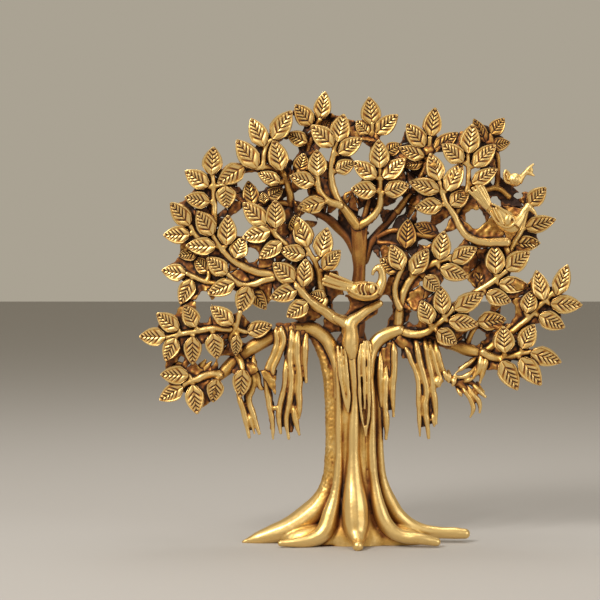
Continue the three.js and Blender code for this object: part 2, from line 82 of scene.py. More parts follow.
def spray(name, depth, twigs, leaves, slot=GOLD_SLOT):
    """A leaf spray. A leaf is [base x, base z, tip x, tip z, width] and, if it has one, its depth."""
    return {"name": name, "depth": depth, "twigs": twigs, "leaves": leaves, "slot": slot}


# The trunk's core and its ribs, each a path of (x, y, z) with radii along it. A rib runs on
# into the floor root below it.
TRUNK_CORE = [(-1, 0, -6), (-1, 0, 6), (-1, 0, 18), (-1.5, 0, 34), (-1.5, 0, 60), (-2, 0, 100),
              (-4, 1, 128), (-4, 2, 144), (-3, 2, 155)]
CORE_RADII = [27, 25.5, 22.5, 19.5, 18, 17.5, 15.5, 10, 4]
CORE_FLATNESS = 0.76
TRUNK_RIBS = [
    # Left edge, from under the left limb to the left root.
    ([(-33, 0, 149), (-26, 0, 139), (-20.5, -1, 125), (-18, -2, 100), (-17.6, -2, 60),
      (-19, -1, 42), (-25, -1, 27), (-36, -1, 16.5), (-48, -1, 9.5), (-60, -1, 5.5), (-71, -2, 2.6),
      (-80, -2, 0.4)],
     [3, 4, 4.8, 4.8, 5, 6.4, 9, 9.6, 8.4, 6.8, 4.4, 1.4]),
    # Bright rib left of the middle, to the front left root.
    ([(-14.5, -7, 138), (-12.8, -11, 118), (-12.8, -11.5, 90), (-12.6, -12, 60), (-14.4, -12.5, 40),
      (-18, -14, 24), (-24, -17, 9), (-33, -20, 4.5), (-43, -22, 3.4), (-53.5, -23, 3)],
     [3, 2.6, 2.4, 2.6, 3.8, 5.8, 6, 4.8, 3.6, 2.4]),
    # Wide middle rib, to the toe.
    ([(-4, -8, 150), (-3.6, -10.5, 132), (-1.8, -12, 105), (-2.4, -13, 80), (-2.6, -13.5, 61),
      (-2.3, -14.5, 46), (-1.8, -17, 33), (-1.4, -19, 22), (-0.8, -22.5, 12), (0, -30, 5.5),
      (0, -34.6, 3.2)],
     [5, 5, 3.8, 4.2, 4.6, 6.2, 8.6, 9.4, 8.6, 5.2, 4]),
    # Rib right of the middle, to the front right root.
    ([(8, -7, 140), (8.6, -10, 120), (10.4, -11.5, 92), (10.6, -12, 60), (12.6, -12.5, 42),
      (15.5, -14.5, 26), (21.5, -17, 13.5), (31, -20, 7.5), (43, -22, 6.2), (55, -22, 3.8)],
     [3.6, 3, 2.8, 3.1, 3.6, 5, 5.6, 4.8, 4.4, 3]),
    # Right edge, to the right root.
    ([(14, -4, 130), (15.6, -4.5, 112), (16, -5, 86), (16.3, -5, 60), (18.4, -4, 43),
      (23, -2, 29), (32, -1, 16), (44, -1, 9), (58, -1, 7), (70, -1, 6.6), (77, -1, 6.2)],
     [2.6, 2.8, 3, 3.2, 4.2, 5.8, 6, 5.2, 4.4, 4.2, 3.6]),
    # Back ribs and their roots.
    ([(-5, 2, 158), (-8, 7, 140), (-10, 9.5, 60), (-13, 13, 30), (-20, 20, 12), (-28, 26, 6),
      (-37, 29.5, 3.4)],
     [2.2, 3.8, 4.4, 6, 6, 4.4, 2.8]),
    ([(2, 2, 156), (6, 7, 136), (9, 9.5, 60), (11, 14, 30), (17, 21, 12), (24, 26, 6), (30, 30, 3.6)],
     [2.2, 3.8, 4.4, 6, 6, 4.4, 3]),
    ([(-1, 3, 166), (-1, 8, 148), (-1, 11, 90), (-1, 12, 40), (-1, 15, 4)], [2.6, 4, 4.5, 5, 6]),
]

# Swellings that run the roots together at the foot: place and radii.
FOOT_SWELLINGS = [
    ((-1, -7.5, 3), (26, 12, 18)),
    ((-27, -6, 2), (26, 11, 12)),
    ((24, -6, 2), (24, 10, 11)),
    ((0, 12, 1), (24, 10, 9)),
]

# Limbs: node, finish and the bars that run together in it, as (path, radii).
LIMBS = [
    ("limb_left", GOLD_SLOT, [
        ([(-13.6, -9, 104), (-14, -8.5, 124), (-17, -6, 137), (-25, -4, 148), (-35, -3, 152.5),
          (-47, -3, 151), (-58, -3, 146.5), (-70, -3, 140.5), (-82, -4, 132.5), (-92, -5, 123),
          (-98, -6, 117.5)],
         [2.6, 3.4, 4.6, 5, 5, 4.8, 5, 5.4, 5.2, 4.6, 3.4]),
    ]),
    ("limb_right", GOLD_SLOT, [
        ([(9, -9, 106), (8.8, -8.5, 124), (10.5, -6, 136), (14.5, -5, 143), (21, -4.5, 147.5),
          (30, -5, 150.5)],
         [2.6, 3.6, 4.6, 5, 5, 4.6]),
    ]),
    ("limb_right_rear", GOLD_SLOT, [
        ([(30, -2, 149.5), (43, 0, 147), (55, 1, 144.5), (68, 0, 141), (80, -2, 136.5), (91, -4, 134)],
         [3.6, 4.6, 4.6, 4.8, 4.6, 3.4]),
    ]),
    ("upper_trunk", REAR_SLOT, [
        ([(-2, 2, 140), (0, 3, 158), (1, 3, 175), (2, 3, 192), (2, 2, 208), (1, 0, 222), (1, -3, 227)],
         [7, 6.4, 5.4, 4.6, 5.6, 5, 2.6]),
        ([(-2, -1, 150), (-1, 0, 172), (1, 0, 192), (0, 0, 208), (-3, -1, 224)], [2.6, 2.2, 2, 2.6, 2]),
        ([(3, -1, 158), (4, 0, 178), (4.5, 0, 194), (5, 0, 208), (6, -1, 222)], [2.2, 2, 2, 2.4, 2]),
    ]),
    ("limb_rear_left", REAR_SLOT, [
        ([(0, 3, 206), (-6, 4, 216), (-13, 4, 223), (-22, 3, 230.5), (-34, 1, 236.5), (-47, -1, 241)],
         [4, 3.6, 3.4, 3.2, 2.8, 2.4]),
    ]),
    ("limb_rear_right", REAR_SLOT, [
        ([(5, 3, 200), (9, 4, 210), (14, 4, 217), (20, 3, 224), (29, 2, 235)], [4, 3.6, 3.4, 3, 2.4]),
    ]),
    ("fork_front_right", GOLD_SLOT, [
        ([(-4, -4, 112), (-4, -9.6, 128), (-4.4, -11.5, 141), (-4.8, -12, 150), (-4.8, -12.5, 155),
          (3, -12, 162), (9, -11, 166), (16, -10, 169.5)],
         [3, 4.6, 6.2, 5.4, 5, 3.4, 2.8, 2.4]),
        ([(-4, -12, 152), (-10, -12.5, 156.5), (-16, -12.5, 160)], [4.4, 3.6, 2.8]),
    ]),
    ("front_flap_left", GOLD_SLOT, [
        ([(-13.4, -12, 139), (-12.6, -14.2, 128), (-11.2, -14.8, 115), (-8.8, -15, 104), (-6.6, -15.2, 94)],
         [1.3, 1.6, 1.5, 1.3, 0.8]),
        ([(-8.4, -14.6, 140), (-7.6, -15.6, 126), (-6.4, -16, 112), (-5.8, -16, 102), (-6.4, -15.6, 94)],
         [1, 1.2, 1.2, 1.1, 0.8]),
        ([(-11, -14, 139), (-10, -14.9, 126), (-8.2, -15.4, 114), (-6.6, -15.4, 106)], [0.8, 0.9, 0.9,
                                                                                        0.7]),
    ]),
    ("front_flap_right", GOLD_SLOT, [
        ([(2.6, -13.6, 141), (1.4, -14.6, 130), (1.6, -15, 112), (2.6, -15, 95), (5.8, -15.2, 77)],
         [1, 1.3, 1.3, 1.2, 0.8]),
        ([(7, -12.6, 143), (8, -14, 130), (8, -14.8, 112), (8.2, -15, 95), (6.2, -15.2, 77)],
         [1.2, 1.5, 1.4, 1.3, 0.8]),
        ([(4.8, -13.6, 143), (4.6, -15, 130), (5, -15.4, 112), (5.4, -15.4, 96)], [1, 1.2, 1.1, 0.8]),
    ]),
]

# Birds: node and parts. An egg has its place, turn and radii in mm; a bar its path and radii.
BIRDS = [
    ("bird_centre", [
        ("egg", [(4.5, -16, 180), 0.08], (12, 5, 7)),
        ("bar", [(13, -16, 179.5), (16.6, -16.6, 185), (17.4, -17, 191), (16.2, -17, 195.5)], [5, 3.7,
                                                                                               2.8, 2.8]),
        ("egg", [(15.4, -17, 196.2), 0], (3.2, 2.8, 2.8)),
        ("bar", [(14, -17, 196.6), (11.4, -17.4, 194), (10.4, -17.6, 191)], [2, 1.5, 1]),
        # Tail and its feathers.
        ("bar", [(2, -16, 180.6), (-12, -16.4, 185), (-23, -16.6, 188.6)], [4.8, 3.4, 3.2]),
        ("bar", [(-3, -18.6, 185.6), (-11, -18.4, 188.8), (-19.5, -18.2, 192)], [1, 1.2, 1.3]),
        ("bar", [(-4, -19, 184), (-13, -18.8, 186.8), (-23, -18.6, 190.4)], [0.9, 1.1, 1.3]),
        ("bar", [(-5, -19, 182.2), (-14, -18.8, 184.6), (-24.6, -18.6, 188)], [0.9, 1.1, 1.3]),
        ("bar", [(-6, -18.6, 180.4), (-15, -18.4, 182.4), (-24.4, -18.2, 185.4)], [0.9, 1.1, 1.2]),
        # Wing: its rim, its bands and its shoulder.
        ("egg", [(4, -19.4, 181.4), -0.12], (9.5, 2, 4.6)),
        ("bar", [(7, -20.9, 186), (12.6, -20.8, 184.4), (14.2, -20.6, 181), (12, -20.8, 177.6),
                 (6, -21, 176.2), (-1, -20.6, 178), (-7, -19.6, 182)], [0.9, 1]),
        ("bar", [(0.6, -21, 185), (-0.6, -21.2, 181.6), (0.8, -21, 178)], [0.6, 0.7]),
        ("bar", [(3.2, -21.4, 185.2), (2, -21.6, 181.6), (3.4, -21.4, 177.6)], [0.6, 0.7]),
        ("bar", [(5.8, -21.4, 185.4), (4.6, -21.7, 181.6), (6, -21.4, 177.4)], [0.6, 0.7]),
        ("egg", [(10, -21, 181.4), 0], (2.4, 1.6, 3.4)),
    ]),
    ("bird_right", [
        ("egg", [(103, -22, 228.6), 0.7], (10.6, 4.4, 6.8)),
        ("bar", [(109, -22, 226), (113, -22, 231), (115.4, -22, 235.6), (118, -22, 238.2)], [4.8, 3.3,
                                                                                             2.6, 2.8]),
        ("egg", [(118.2, -22, 238.2), 0.5], (3.2, 2.7, 2.7)),
        ("bar", [(119.5, -22, 237.6), (122.4, -22, 234.8), (124.6, -22, 231.4)], [2, 1.3, 0.5]),
        # Fan tail and its feathers.
        ("bar", [(98, -22, 232.6), (90.5, -22, 239), (85, -22, 245), (81.4, -22, 250)], [4.4, 3.4, 3.8,
                                                                                         4.2]),
        ("bar", [(89.6, -24.4, 236.6), (83, -24.4, 243.2), (76.6, -24.2, 249.8)], [0.9, 1.1, 1.2]),
        ("bar", [(90.2, -24.8, 237.6), (84.4, -24.8, 245), (79, -24.6, 251.8)], [0.9, 1.1, 1.2]),
        ("bar", [(90.8, -25, 238.6), (86, -25, 246), (81.6, -24.8, 253)], [0.9, 1.1, 1.2]),
        ("bar", [(91.4, -24.8, 239.6), (87.8, -24.8, 246.4), (84.2, -24.6, 253.2)], [0.9, 1, 1.2]),
        ("bar", [(92, -24.4, 240.6), (89.6, -24.4, 246.4), (86.6, -24.2, 252.4)], [0.8, 1, 1.1]),
        # Wing: its rim, feathers and shoulder.
        ("egg", [(99.8, -25.4, 231), 0.8], (9, 1.8, 4.8)),
        ("bar", [(92.4, -25.6, 240.4), (98.4, -26.2, 237.4), (104.4, -26.4, 232.8), (108, -26, 228.6),
                 (106, -26, 225), (101, -26.2, 224.6), (95, -26, 229), (91.4, -25.4, 235)], [0.8, 0.9]),
        ("bar", [(93.4, -26.2, 237.6), (96, -26.8, 231.6), (99.4, -26.8, 226.6)], [0.6, 0.7]),
        ("bar", [(95, -26.4, 237.8), (98, -27, 232), (100.6, -27, 226)], [0.6, 0.7]),
        ("egg", [(103.6, -26.4, 229.4), 0.2], (2.4, 1.4, 3.6)),
    ]),
    ("bird_far_right", [
        ("egg", [(110.4, -9.5, 257.6), 0], (5, 3.6, 4.8)),
        ("egg", [(105.4, -9.5, 259.4), 0], (2.6, 1.8, 4.8)),
        ("bar", [(108, -10.6, 254.8), (104, -10.6, 256.4), (102.6, -10.6, 260), (103.8, -10.4, 264.8)],
         [0.8, 0.8]),
        ("bar", [(103.8, -10.4, 264.8), (106.8, -10.8, 261.4), (108.2, -10.8, 257.6)], [0.8, 0.8]),
        ("bar", [(104.4, -11.2, 261.8), (105.6, -11.6, 257.4)], [0.5, 0.6]),
        ("egg", [(110.4, -12.4, 257.8), 0], (2.2, 1.2, 2.4)),
        ("bar", [(112.8, -9.5, 256.4), (116, -9.5, 260.6), (119, -9.5, 263.8)], [3, 2, 1.8]),
        ("bar", [(118, -9.5, 263), (121, -9.6, 266.4), (123.8, -9.5, 268.8)], [1.5, 1.3, 0.7]),
        ("bar", [(118, -9.5, 262.8), (121.4, -9.6, 262), (124.3, -9.5, 260.4)], [1.5, 1.3, 0.7]),
        ("egg", [(121.4, -9.5, 264.2), 0], (1.9, 1.2, 2.8)),
    ]),
]

# Hanging roots: node, then strands that stand out, each a path of (x, z) and a radius, and
# the flat metal between them, each a path of (x, z) and a radius.
ROOT_DEPTH = -7.4
ROOT_SWELL = 1.4
AERIAL_ROOTS = [
    ("aerial_roots_left", [
        ([(-55.6, 155), (-57.1, 152), (-56, 145.6), (-58.2, 136.2), (-63, 125), (-64, 117.7), (-63, 109),
          (-61.4, 98), (-59.3, 87), (-58.9, 75)], 1.7),
        ([(-52, 155.4), (-53.2, 152.6), (-51.5, 145.6), (-54.3, 136.2), (-58.8, 126), (-60.3, 117.7),
          (-61, 109)], 1.7),
        ([(-49, 137), (-50.2, 125), (-50.4, 116), (-52.4, 106.6), (-54.2, 98), (-54.8, 90), (-53.4, 79)],
         1.6),
        ([(-46.4, 155.6), (-45.9, 150), (-46.5, 140), (-47, 131.7), (-45.9, 120.5), (-46.4, 109),
          (-47.6, 100), (-49.6, 90), (-47.8, 75)], 1.8),
        ([(-41, 155.4), (-41.8, 146), (-41.6, 131.7), (-40.5, 120.5), (-41, 109), (-40.4, 98), (-41, 90)],
         1.9),
        ([(-46, 104), (-44.4, 96), (-42.4, 86), (-40.2, 78)], 1.5),
        ([(-34.8, 154), (-36.2, 143), (-36.6, 131.7), (-35.6, 115)], 1.7),
        ([(-61, 98), (-57.6, 97.4), (-54.2, 98)], 1.3),
    ], [
        ([(-54.6, 157), (-54, 146), (-58, 134), (-61.6, 122), (-62, 111), (-60.6, 98), (-59.4, 82)], 1.8),
        ([(-49.6, 157), (-48, 143), (-48.6, 126), (-48.4, 110), (-51.4, 98), (-51, 84)], 2.2),
        ([(-44, 156), (-44, 140), (-43.6, 120), (-44, 104), (-46.6, 90), (-46.8, 80)], 2.2),
        ([(-38, 156), (-39, 140), (-38.8, 126), (-38, 116)], 2),
    ]),
    ("aerial_roots_far_left", [
        ([(-78, 135), (-76, 126), (-72.8, 119), (-73.8, 110), (-76, 105), (-72.8, 92.6), (-68.4, 78.7)],
         1.8),
        ([(-84, 110), (-82.6, 104), (-80.4, 98), (-78.2, 89), (-75.6, 76)], 1.6),
        ([(-76.6, 98), (-75, 90), (-72, 79)], 1.2),
        ([(-73, 137), (-72.4, 127), (-69.4, 120), (-67.6, 112), (-64.6, 111)], 1.6),
    ], [
        ([(-77, 128), (-75, 117), (-77, 106), (-76.8, 94), (-73.4, 82)], 2),
        ([(-73, 130), (-71, 118), (-71, 113)], 1.8),
    ]),
    ("aerial_roots_wrap_left", [
        ([(-115, 118), (-112.6, 122.6), (-109.6, 127.4), (-106, 131.6)], 1.6),
        ([(-110.6, 116), (-108.6, 121.4), (-105.6, 126.2), (-102, 130.4)], 1.6),
        ([(-106, 115.6), (-104.4, 120.4), (-101.6, 125), (-98.4, 129)], 1.5),
    ], [
        ([(-113, 118), (-110.4, 123), (-106.6, 128.6)], 2),
        ([(-108.4, 117), (-106.4, 121.6), (-102.6, 127.4)], 2),
    ]),
    ("aerial_roots_beside_trunk", [
        ([(17, 142), (16.6, 128), (16.4, 112), (17.2, 98)], 1.6),
        ([(20.6, 134), (20.4, 118), (19.8, 101), (20.8, 86), (20.6, 75)], 1.7),
        ([(24.6, 147), (26.2, 138), (26.2, 125), (25.2, 110.5), (25.9, 91)], 1.7),
    ], [
        ([(19.4, 140), (18.6, 118), (18.4, 100), (19, 84)], 2.2),
        ([(23, 144), (23.2, 126), (22.8, 110), (23.2, 96)], 2.2),
    ]),
    ("aerial_roots_right", [
        ([(31, 145), (34.8, 139), (38.6, 130), (42.3, 120.5), (43.6, 109.7), (43.7, 99), (44, 88),
          (44.4, 77)], 1.4),
        ([(41, 147), (42.3, 140.8), (44.5, 128.5), (47.7, 117.8), (49.2, 109.7), (48.2, 99), (49.3, 88),
          (50.8, 75.6)], 1.9),
        ([(47.6, 147), (48.8, 140.8), (50.9, 128.5), (53, 117.8), (53.6, 109.7), (55.1, 99), (55.8, 86)],
         1.8),
        ([(51.4, 146), (52.2, 140), (54.7, 131), (57.9, 120.5), (60.6, 115.6)], 1.5),
        ([(55, 145), (56.4, 138), (58.8, 129), (62.4, 120)], 1.5),
        ([(56, 122), (57, 116), (57.6, 112)], 2.4),
        ([(52.8, 98), (53.6, 90), (54.6, 84)], 1),
    ], [
        ([(36, 143), (41.6, 130), (45.6, 118), (46.6, 108), (46, 96), (47, 84)], 2.3),
        ([(44.4, 143), (47.8, 129), (50.6, 117), (51.6, 108), (51.8, 96), (52.4, 86)], 2.1),
        ([(51, 143), (53.6, 129), (56, 118)], 2.4),
        ([(28, 147), (34, 142), (40, 139)], 3),
    ]),
    ("aerial_roots_wrap_right", [
        ([(88, 143), (87.4, 132), (85.6, 124), (81, 118)], 1.6),
        ([(92, 142), (91, 131.4), (88.6, 123), (86.4, 114.6)], 1.6),
        ([(86.4, 134.6), (79.3, 129.4), (74, 125.6), (69, 121.6)], 1.1),
        ([(86, 129.6), (80.4, 122.6), (74.4, 119.2), (68, 120.4)], 1.2),
        ([(60, 127), (61.6, 122), (62.7, 117)], 1.4),
        ([(64.6, 124), (65, 119.6), (64.6, 115)], 1.4),
        ([(68.6, 120.6), (68.4, 116.6), (67.2, 112.6)], 1.4),
        ([(71, 117), (76.4, 109), (81, 101.4), (82, 96.4), (79.6, 90.6)], 1.3),
        ([(75.4, 116), (82, 107), (86.2, 101), (86.4, 93.6)], 1.4),
        ([(80.2, 116), (85.7, 109.7), (91, 105)], 1.5),
        ([(84.6, 116), (90, 108.4)], 1.4),
        ([(72.6, 114.6), (78, 117), (83.4, 119)], 1.2),
        ([(69.6, 113), (72.4, 108), (74, 105.4)], 1.2),
    ], [
        ([(89.8, 140), (89, 130), (86, 121)], 1.8),
        ([(62, 122), (67, 117), (73, 113.6), (79, 108), (84, 101)], 2),
        ([(73, 118), (80, 115.6), (87, 110)], 1.8),
    ]),
]

CROWN_SPRAYS = [
    spray("spray_crown_left", FRONT, [
        twig([[0, 226], [-8, 237], [-14, 245], [-18, 258], [-18, 268], [-14, 285]], [3, 1.6], [-4, -14]),
    ], [
        [-14, 284, -9.5, 303, 14],
        [-17, 281, -32, 295, 14],
        [-13, 276, 3, 286, 12],
        [-15, 264, -2, 270, 11, FRONT + 1],
    ]),
    spray("spray_crown_left_low", FRONT, [
        twig([[-12, 240], [-20, 243], [-26, 249], [-28, 260]], [2.4, 1.6], [-9, -14]),
    ], [
        [-28, 260, -28, 278, 13.5],
        [-41, 263, -37, 276, 11, MIDDLE],
        [-30, 255, -47, 260, 12],
        [-23, 242, -41.5, 237.5, 12.5],
    ]),
    spray("spray_crown_right", FRONT, [
        twig([[2, 226], [9, 230], [15, 237], [16.5, 245], [16, 255], [15.5, 266]], [2.6, 1.5], [-4, -14]),
    ], [
        [13, 259, -3, 270, 12, FRONT - 1],
        [15.5, 265.5, 15, 285, 14],
        [18, 259, 33, 272, 12.5],
        [13, 250, -4, 251, 13],
        [19, 249, 36, 254, 12.5],
    ]),
]

TOP_SPRAYS = [
    spray("spray_top_left", MIDDLE, [
        twig([[-28, 238], [-33, 254], [-34, 270], [-33, 283], [-28, 296], [-26, 300]], [2.4, 1.5], [1, -8]),
    ], [
        [-26, 300, -22.5, 319, 12],
        [-32, 296, -43, 310, 13],
        [-35, 284, -49, 290, 11],
        [-24, 291, -19, 300, 9, MIDDLE + 2],
    ]),
    spray("spray_top_centre", MIDDLE, [
        twig([[5, 228], [9, 245], [11, 262], [11, 280], [10.5, 297]], [2.4, 1.5], [0, -8]),
    ], [
        [10.5, 296, 8.5, 315, 14],
        [8, 290, 0, 299, 11],
        [13, 290, 28, 303, 12],
        [20, 277, 31, 283, 10, MIDDLE + 2],
    ]),
    spray("spray_top_right", MIDDLE, [
        twig([[29, 236], [36, 246], [44, 258], [50, 273], [51, 287]], [2.4, 1.5], [2, -8]),
    ], [
        [47, 274, 30, 280, 11],
        [46, 270, 33, 268, 9, MIDDLE + 2],
        [51.5, 288, 55, 308, 13],
        [47, 281, 35, 296.5, 13],
        [54, 279, 70.5, 291, 11],
    ]),
    spray("spray_far_top_right", MIDDLE, [
        twig([[81, 250], [91, 251], [99, 252], [107, 246]], [2, 1.6], [-9, -3.5]),
        twig([[98, 252], [99, 264], [98, 276], [94, 284]], [1.8, 1.5], [-5, -8]),
    ], [
        [90, 284, 82, 300, 9],
        [94, 290, 103, 301, 10.5],
        [94, 282, 107, 284, 9.5],
    ], REAR_SLOT),
]

UPPER_LEFT_SPRAYS = [
    spray("spray_outer_upper_left", FRONT, [
        twig([[-101, 221], [-100, 232], [-100, 248], [-101, 262]], [2.2, 1.5], [-12, -14]),
    ], [
        [-102, 261, -100, 280, 14],
        [-104, 253, -120, 263.5, 13],
        [-103, 242, -120, 245, 12],
        [-92, 253, -91, 238, 14],
    ]),
    spray("spray_upper_left", FRONT, [
        twig([[-46, 241], [-47, 248], [-52, 262], [-60, 266], [-69, 266]], [2.6, 1.8], [-2, -14]),
        twig([[-66, 266], [-65, 275], [-62, 284]], [2, 1.6], [-13, -14]),
    ], [
        [-70, 266, -84, 285, 14.5],
        [-65, 281, -74, 300, 13],
        [-59, 286, -46, 305, 14],
        [-53, 264, -58, 285, 14, FRONT - 1],
        [-54, 256, -69, 262, 10],
        [-79, 267, -97, 255, 14, FRONT + 1],
    ]),
    spray("spray_upper_left_low", MIDDLE, [
        twig([[-47, 241], [-56, 242], [-65, 241], [-74, 239]], [2, 1.5], [-2, -7]),
    ], [
        [-63, 245, -52, 252, 10],
        [-65, 241, -66, 249, 7],
        [-73, 239, -76, 257, 12],
    ]),
    spray("spray_mid_left", FRONT, [
        twig([[-37, 201], [-44, 206], [-52, 214], [-58, 220], [-64, 226]], [2.4, 1.6], [-10, -14]),
    ], [
        [-57, 224, -57, 243, 14],
        [-64, 226.5, -79.5, 241, 14],
        [-61, 222, -80, 217, 13, FRONT - 1],
        [-53, 214, -68, 203, 11],
    ]),
    spray("spray_centre_left", FRONT, [
        twig([[-23, 170], [-25, 180], [-26, 190], [-29, 199], [-36, 211]], [2.6, 1.6], [-7, -14]),
    ], [
        [-26, 204, -21, 224, 14],
        [-24, 195, -12, 208, 12],
        [-36.5, 205, -53.5, 208.5, 12],
        [-35, 211, -42, 231, 14],
        [-44, 220, -43, 233, 9, MIDDLE],
    ]),
]

LEFT_SPRAYS = [
    spray("spray_left_arm", FRONT, [
        twig([[-44, 184], [-58, 191], [-70, 193], [-80, 197], [-89, 203], [-96, 211], [-101, 219]],
            [2.8, 1.6], [-11, -14]),
        twig([[-98, 212], [-108, 214], [-117, 226]], [1.8, 1.5], [-13, -14]),
    ], [
        [-117, 226, -130, 241, 13],
        [-117, 219.5, -135, 219, 12.5],
        [-101, 219, -111.5, 235, 14, FRONT - 1],
        [-91.5, 212, -90, 232.5, 13.5],
        [-99, 211, -119.5, 211.5, 12.5, FRONT - 1],
        [-112, 207, -125, 204.5, 10, MIDDLE],
        [-85, 203, -80, 217, 13],
    ]),
    spray("spray_left_arm_low", FRONT, [
        twig([[-59, 189], [-66, 187], [-73, 184.5], [-80, 184], [-86, 187], [-91, 192]], [2.2, 1.6], [-12,
                                                                                                      -14]),
    ], [
        [-91, 192, -104.5, 203, 12.5],
        [-86, 186, -104, 178, 12],
        [-76, 183, -82, 165, 13.5],
        [-74, 181, -64, 167, 11, MIDDLE],
    ]),
    spray("spray_left_outer", MIDDLE, [
        twig([[-87, 185], [-99, 185], [-108, 187], [-119, 192]], [2, 1.5], [-10, -8]),
    ], [
        [-104, 193, -114, 203, 11],
        [-120, 192, -137, 194.5, 12],
        [-116, 188, -124, 171, 12],
    ]),
    spray("spray_fork_left", FRONT, [
        twig([[-6, 152], [-8, 158], [-14, 160], [-22, 165.5], [-32, 172], [-42, 183]], [4, 2.6], [-8, -14]),
    ], [
        [-44, 187, -58.5, 199, 14],
        [-38, 183, -36, 202, 12.5],
        [-42, 181, -60.5, 175, 12.5],
        [-35, 172, -49, 162, 13],
        [-22, 174, -33, 178, 11, FRONT + 4],
    ]),
    spray("spray_low_left", FRONT, [
        twig([[-82, 138], [-88, 146], [-85, 155], [-82, 165]], [2.4, 1.6], [-6, -14]),
    ], [
        [-87, 157, -102, 169, 12.5],
        [-84, 149, -85, 135, 8],
        [-77, 151, -60, 156, 12, MIDDLE - 2],
    ]),
    spray("spray_far_left", FRONT, [
        twig([[-89, 153], [-101, 153.5], [-114, 151.5], [-125, 149.5], [-134, 147]], [2.2, 1.5], [-11,
                                                                                                  -14]),
    ], [
        [-125, 153, -140, 164, 12.5],
        [-113, 155, -120, 170, 12.5],
        [-134, 148, -152, 148, 13],
        [-127, 147, -134, 131.5, 12],
        [-115, 148, -115, 129, 12.5],
        [-101, 150, -98, 133, 13],
    ]),
    spray("spray_bottom_left", FRONT, [
        twig([[-97, 121], [-104, 121], [-112, 118], [-121, 115]], [2.8, 1.8], [-9, -14]),
    ], [
        [-118, 121, -137, 121.5, 13],
        [-122, 113, -138, 104, 12],
        [-115, 114, -112, 94.5, 13],
        [-98, 118, -101, 102, 12],
    ]),
    spray("spray_below_limb_left", FRONT, [
        twig([[-84, 134], [-81, 129], [-80, 124]], [2, 1.6], [-8, -13]),
    ], [
        [-80, 125, -82, 105.5, 13],
    ]),
]

RIGHT_SPRAYS = [
    spray("spray_right_front", FRONT, [
        twig([[104, 214], [95, 214], [85, 214.5], [77, 218], [72, 224], [67, 234], [61, 243], [57, 257]],
            [2.8, 1.6], [-14, -14]),
    ], [
        [57, 257, 51, 276, 13],
        [57, 250, 36.5, 255.5, 12],
        [59, 240, 40.5, 238, 12],
        [62, 250, 73, 269, 13, FRONT - 1],
        [65, 240, 78, 250, 12],
    ]),
    spray("spray_right_crown", FRONT, [
        twig([[69, 235], [74, 244], [77, 252], [77, 276]], [2, 1.5], [-10.5, -13]),
    ], [
        [77, 276, 80.5, 296, 14],
        [73.5, 270, 59.5, 282, 13],
        [81, 267, 96, 282, 12.5],
        [80, 255, 97, 265, 11],
    ]),
    spray("spray_right_outer", MIDDLE, [
        twig([[106, 205], [110, 214], [116, 224], [119, 238]], [2, 1.5], [-9.5, -8]),
    ], [
        [120, 240, 132, 252, 12],
        [118, 224, 139, 230, 12],
        [112, 213, 129, 213.5, 11],
    ]),
    spray("spray_right_mid", FRONT, [
        twig([[67, 168], [75, 174], [85, 180], [94, 186], [104, 194]], [2.6, 1.6], [-11, -14]),
        twig([[103, 193], [106, 203], [103, 213]], [2, 1.6], [-11, -12]),
    ], [
        [104, 195, 120, 207, 14],
        [96.5, 192, 96, 212, 14],
        [86, 183, 87, 201, 10, MIDDLE],
        [99, 185, 120, 183.5, 12],
        [90, 178, 107, 172.5, 12],
    ]),
    spray("spray_centre_right", FRONT, [
        twig([[29, 153], [30, 165], [32, 176], [37, 187], [45, 195], [54, 199.5], [65, 204]], [3, 1.8],
             [-4, -14]),
    ], [
        [47, 190, 57, 180, 12],
        [58, 196, 77, 189.5, 12],
        [66, 201, 83, 210, 12.5],
        [57, 202, 60.5, 221.5, 13.5],
        [38, 192, 49, 209, 13],
    ]),
    spray("spray_centre_right_small", FRONT, [
        twig([[30, 168], [26.5, 178], [28, 188], [32, 197]], [2, 1.5], [-9, -14]),
    ], [
        [31, 195, 24, 212, 13],
        [30, 194, 16, 202, 12, FRONT + 3],
    ]),
    spray("spray_rear_right", MIDDLE, [
        twig([[15, 218], [24, 222], [31, 222], [40, 220]], [1.8, 1.4], [2, -6]),
        twig([[16, 214], [24, 213], [33, 211]], [1.8, 1.4], [2, -6]),
    ], [
        [34, 210, 36, 230, 13.5],
        [57, 220, 41, 227, 11, MIDDLE + 3],
    ], REAR_SLOT),
    spray("spray_low_right_front", FRONT, [
        twig([[30, 152], [38, 149.5], [46, 150], [54, 155], [61, 161], [67, 168]], [2.8, 1.6], [-5, -14]),
    ], [
        [68, 167, 88, 178, 13],
        [64, 159, 84, 157, 12.5],
        [56, 152, 69, 143, 12.5],
        [51, 157, 45, 173, 13],
        [60, 164, 58, 183, 12.5],
    ]),
    spray("spray_far_right", FRONT, [
        twig([[92, 138], [101, 146], [110, 152], [118, 159], [126, 168], [137, 179]], [2.4, 1.6], [-6,
                                                                                                   -14]),
    ], [
        [130, 174, 125.5, 194, 12.5],
        [139, 177, 146, 198, 12],
        [135, 171, 156.5, 170, 13],
        [127, 163, 144.5, 154.5, 13],
        [118, 165, 122, 180, 12],
    ]),
    spray("spray_low_right", FRONT, [
        twig([[89, 136.5], [97, 133], [106, 133.5], [116, 136.5], [122, 137.5]], [2.6, 1.6], [-8, -14]),
    ], [
        [103, 137, 102, 155, 15, FRONT - 1],
        [115, 140, 123.5, 156.5, 13],
        [121, 137, 142, 130, 13],
        [101, 131, 112, 111, 14],
        [114, 133, 128, 114.5, 14],
    ]),
    spray("spray_above_limb_right", MIDDLE, [
        twig([[78, 140], [80, 148], [85, 157]], [2, 1.6], [-1, -7]),
    ], [
        [85, 158, 104.5, 160, 13.5],
    ]),
]

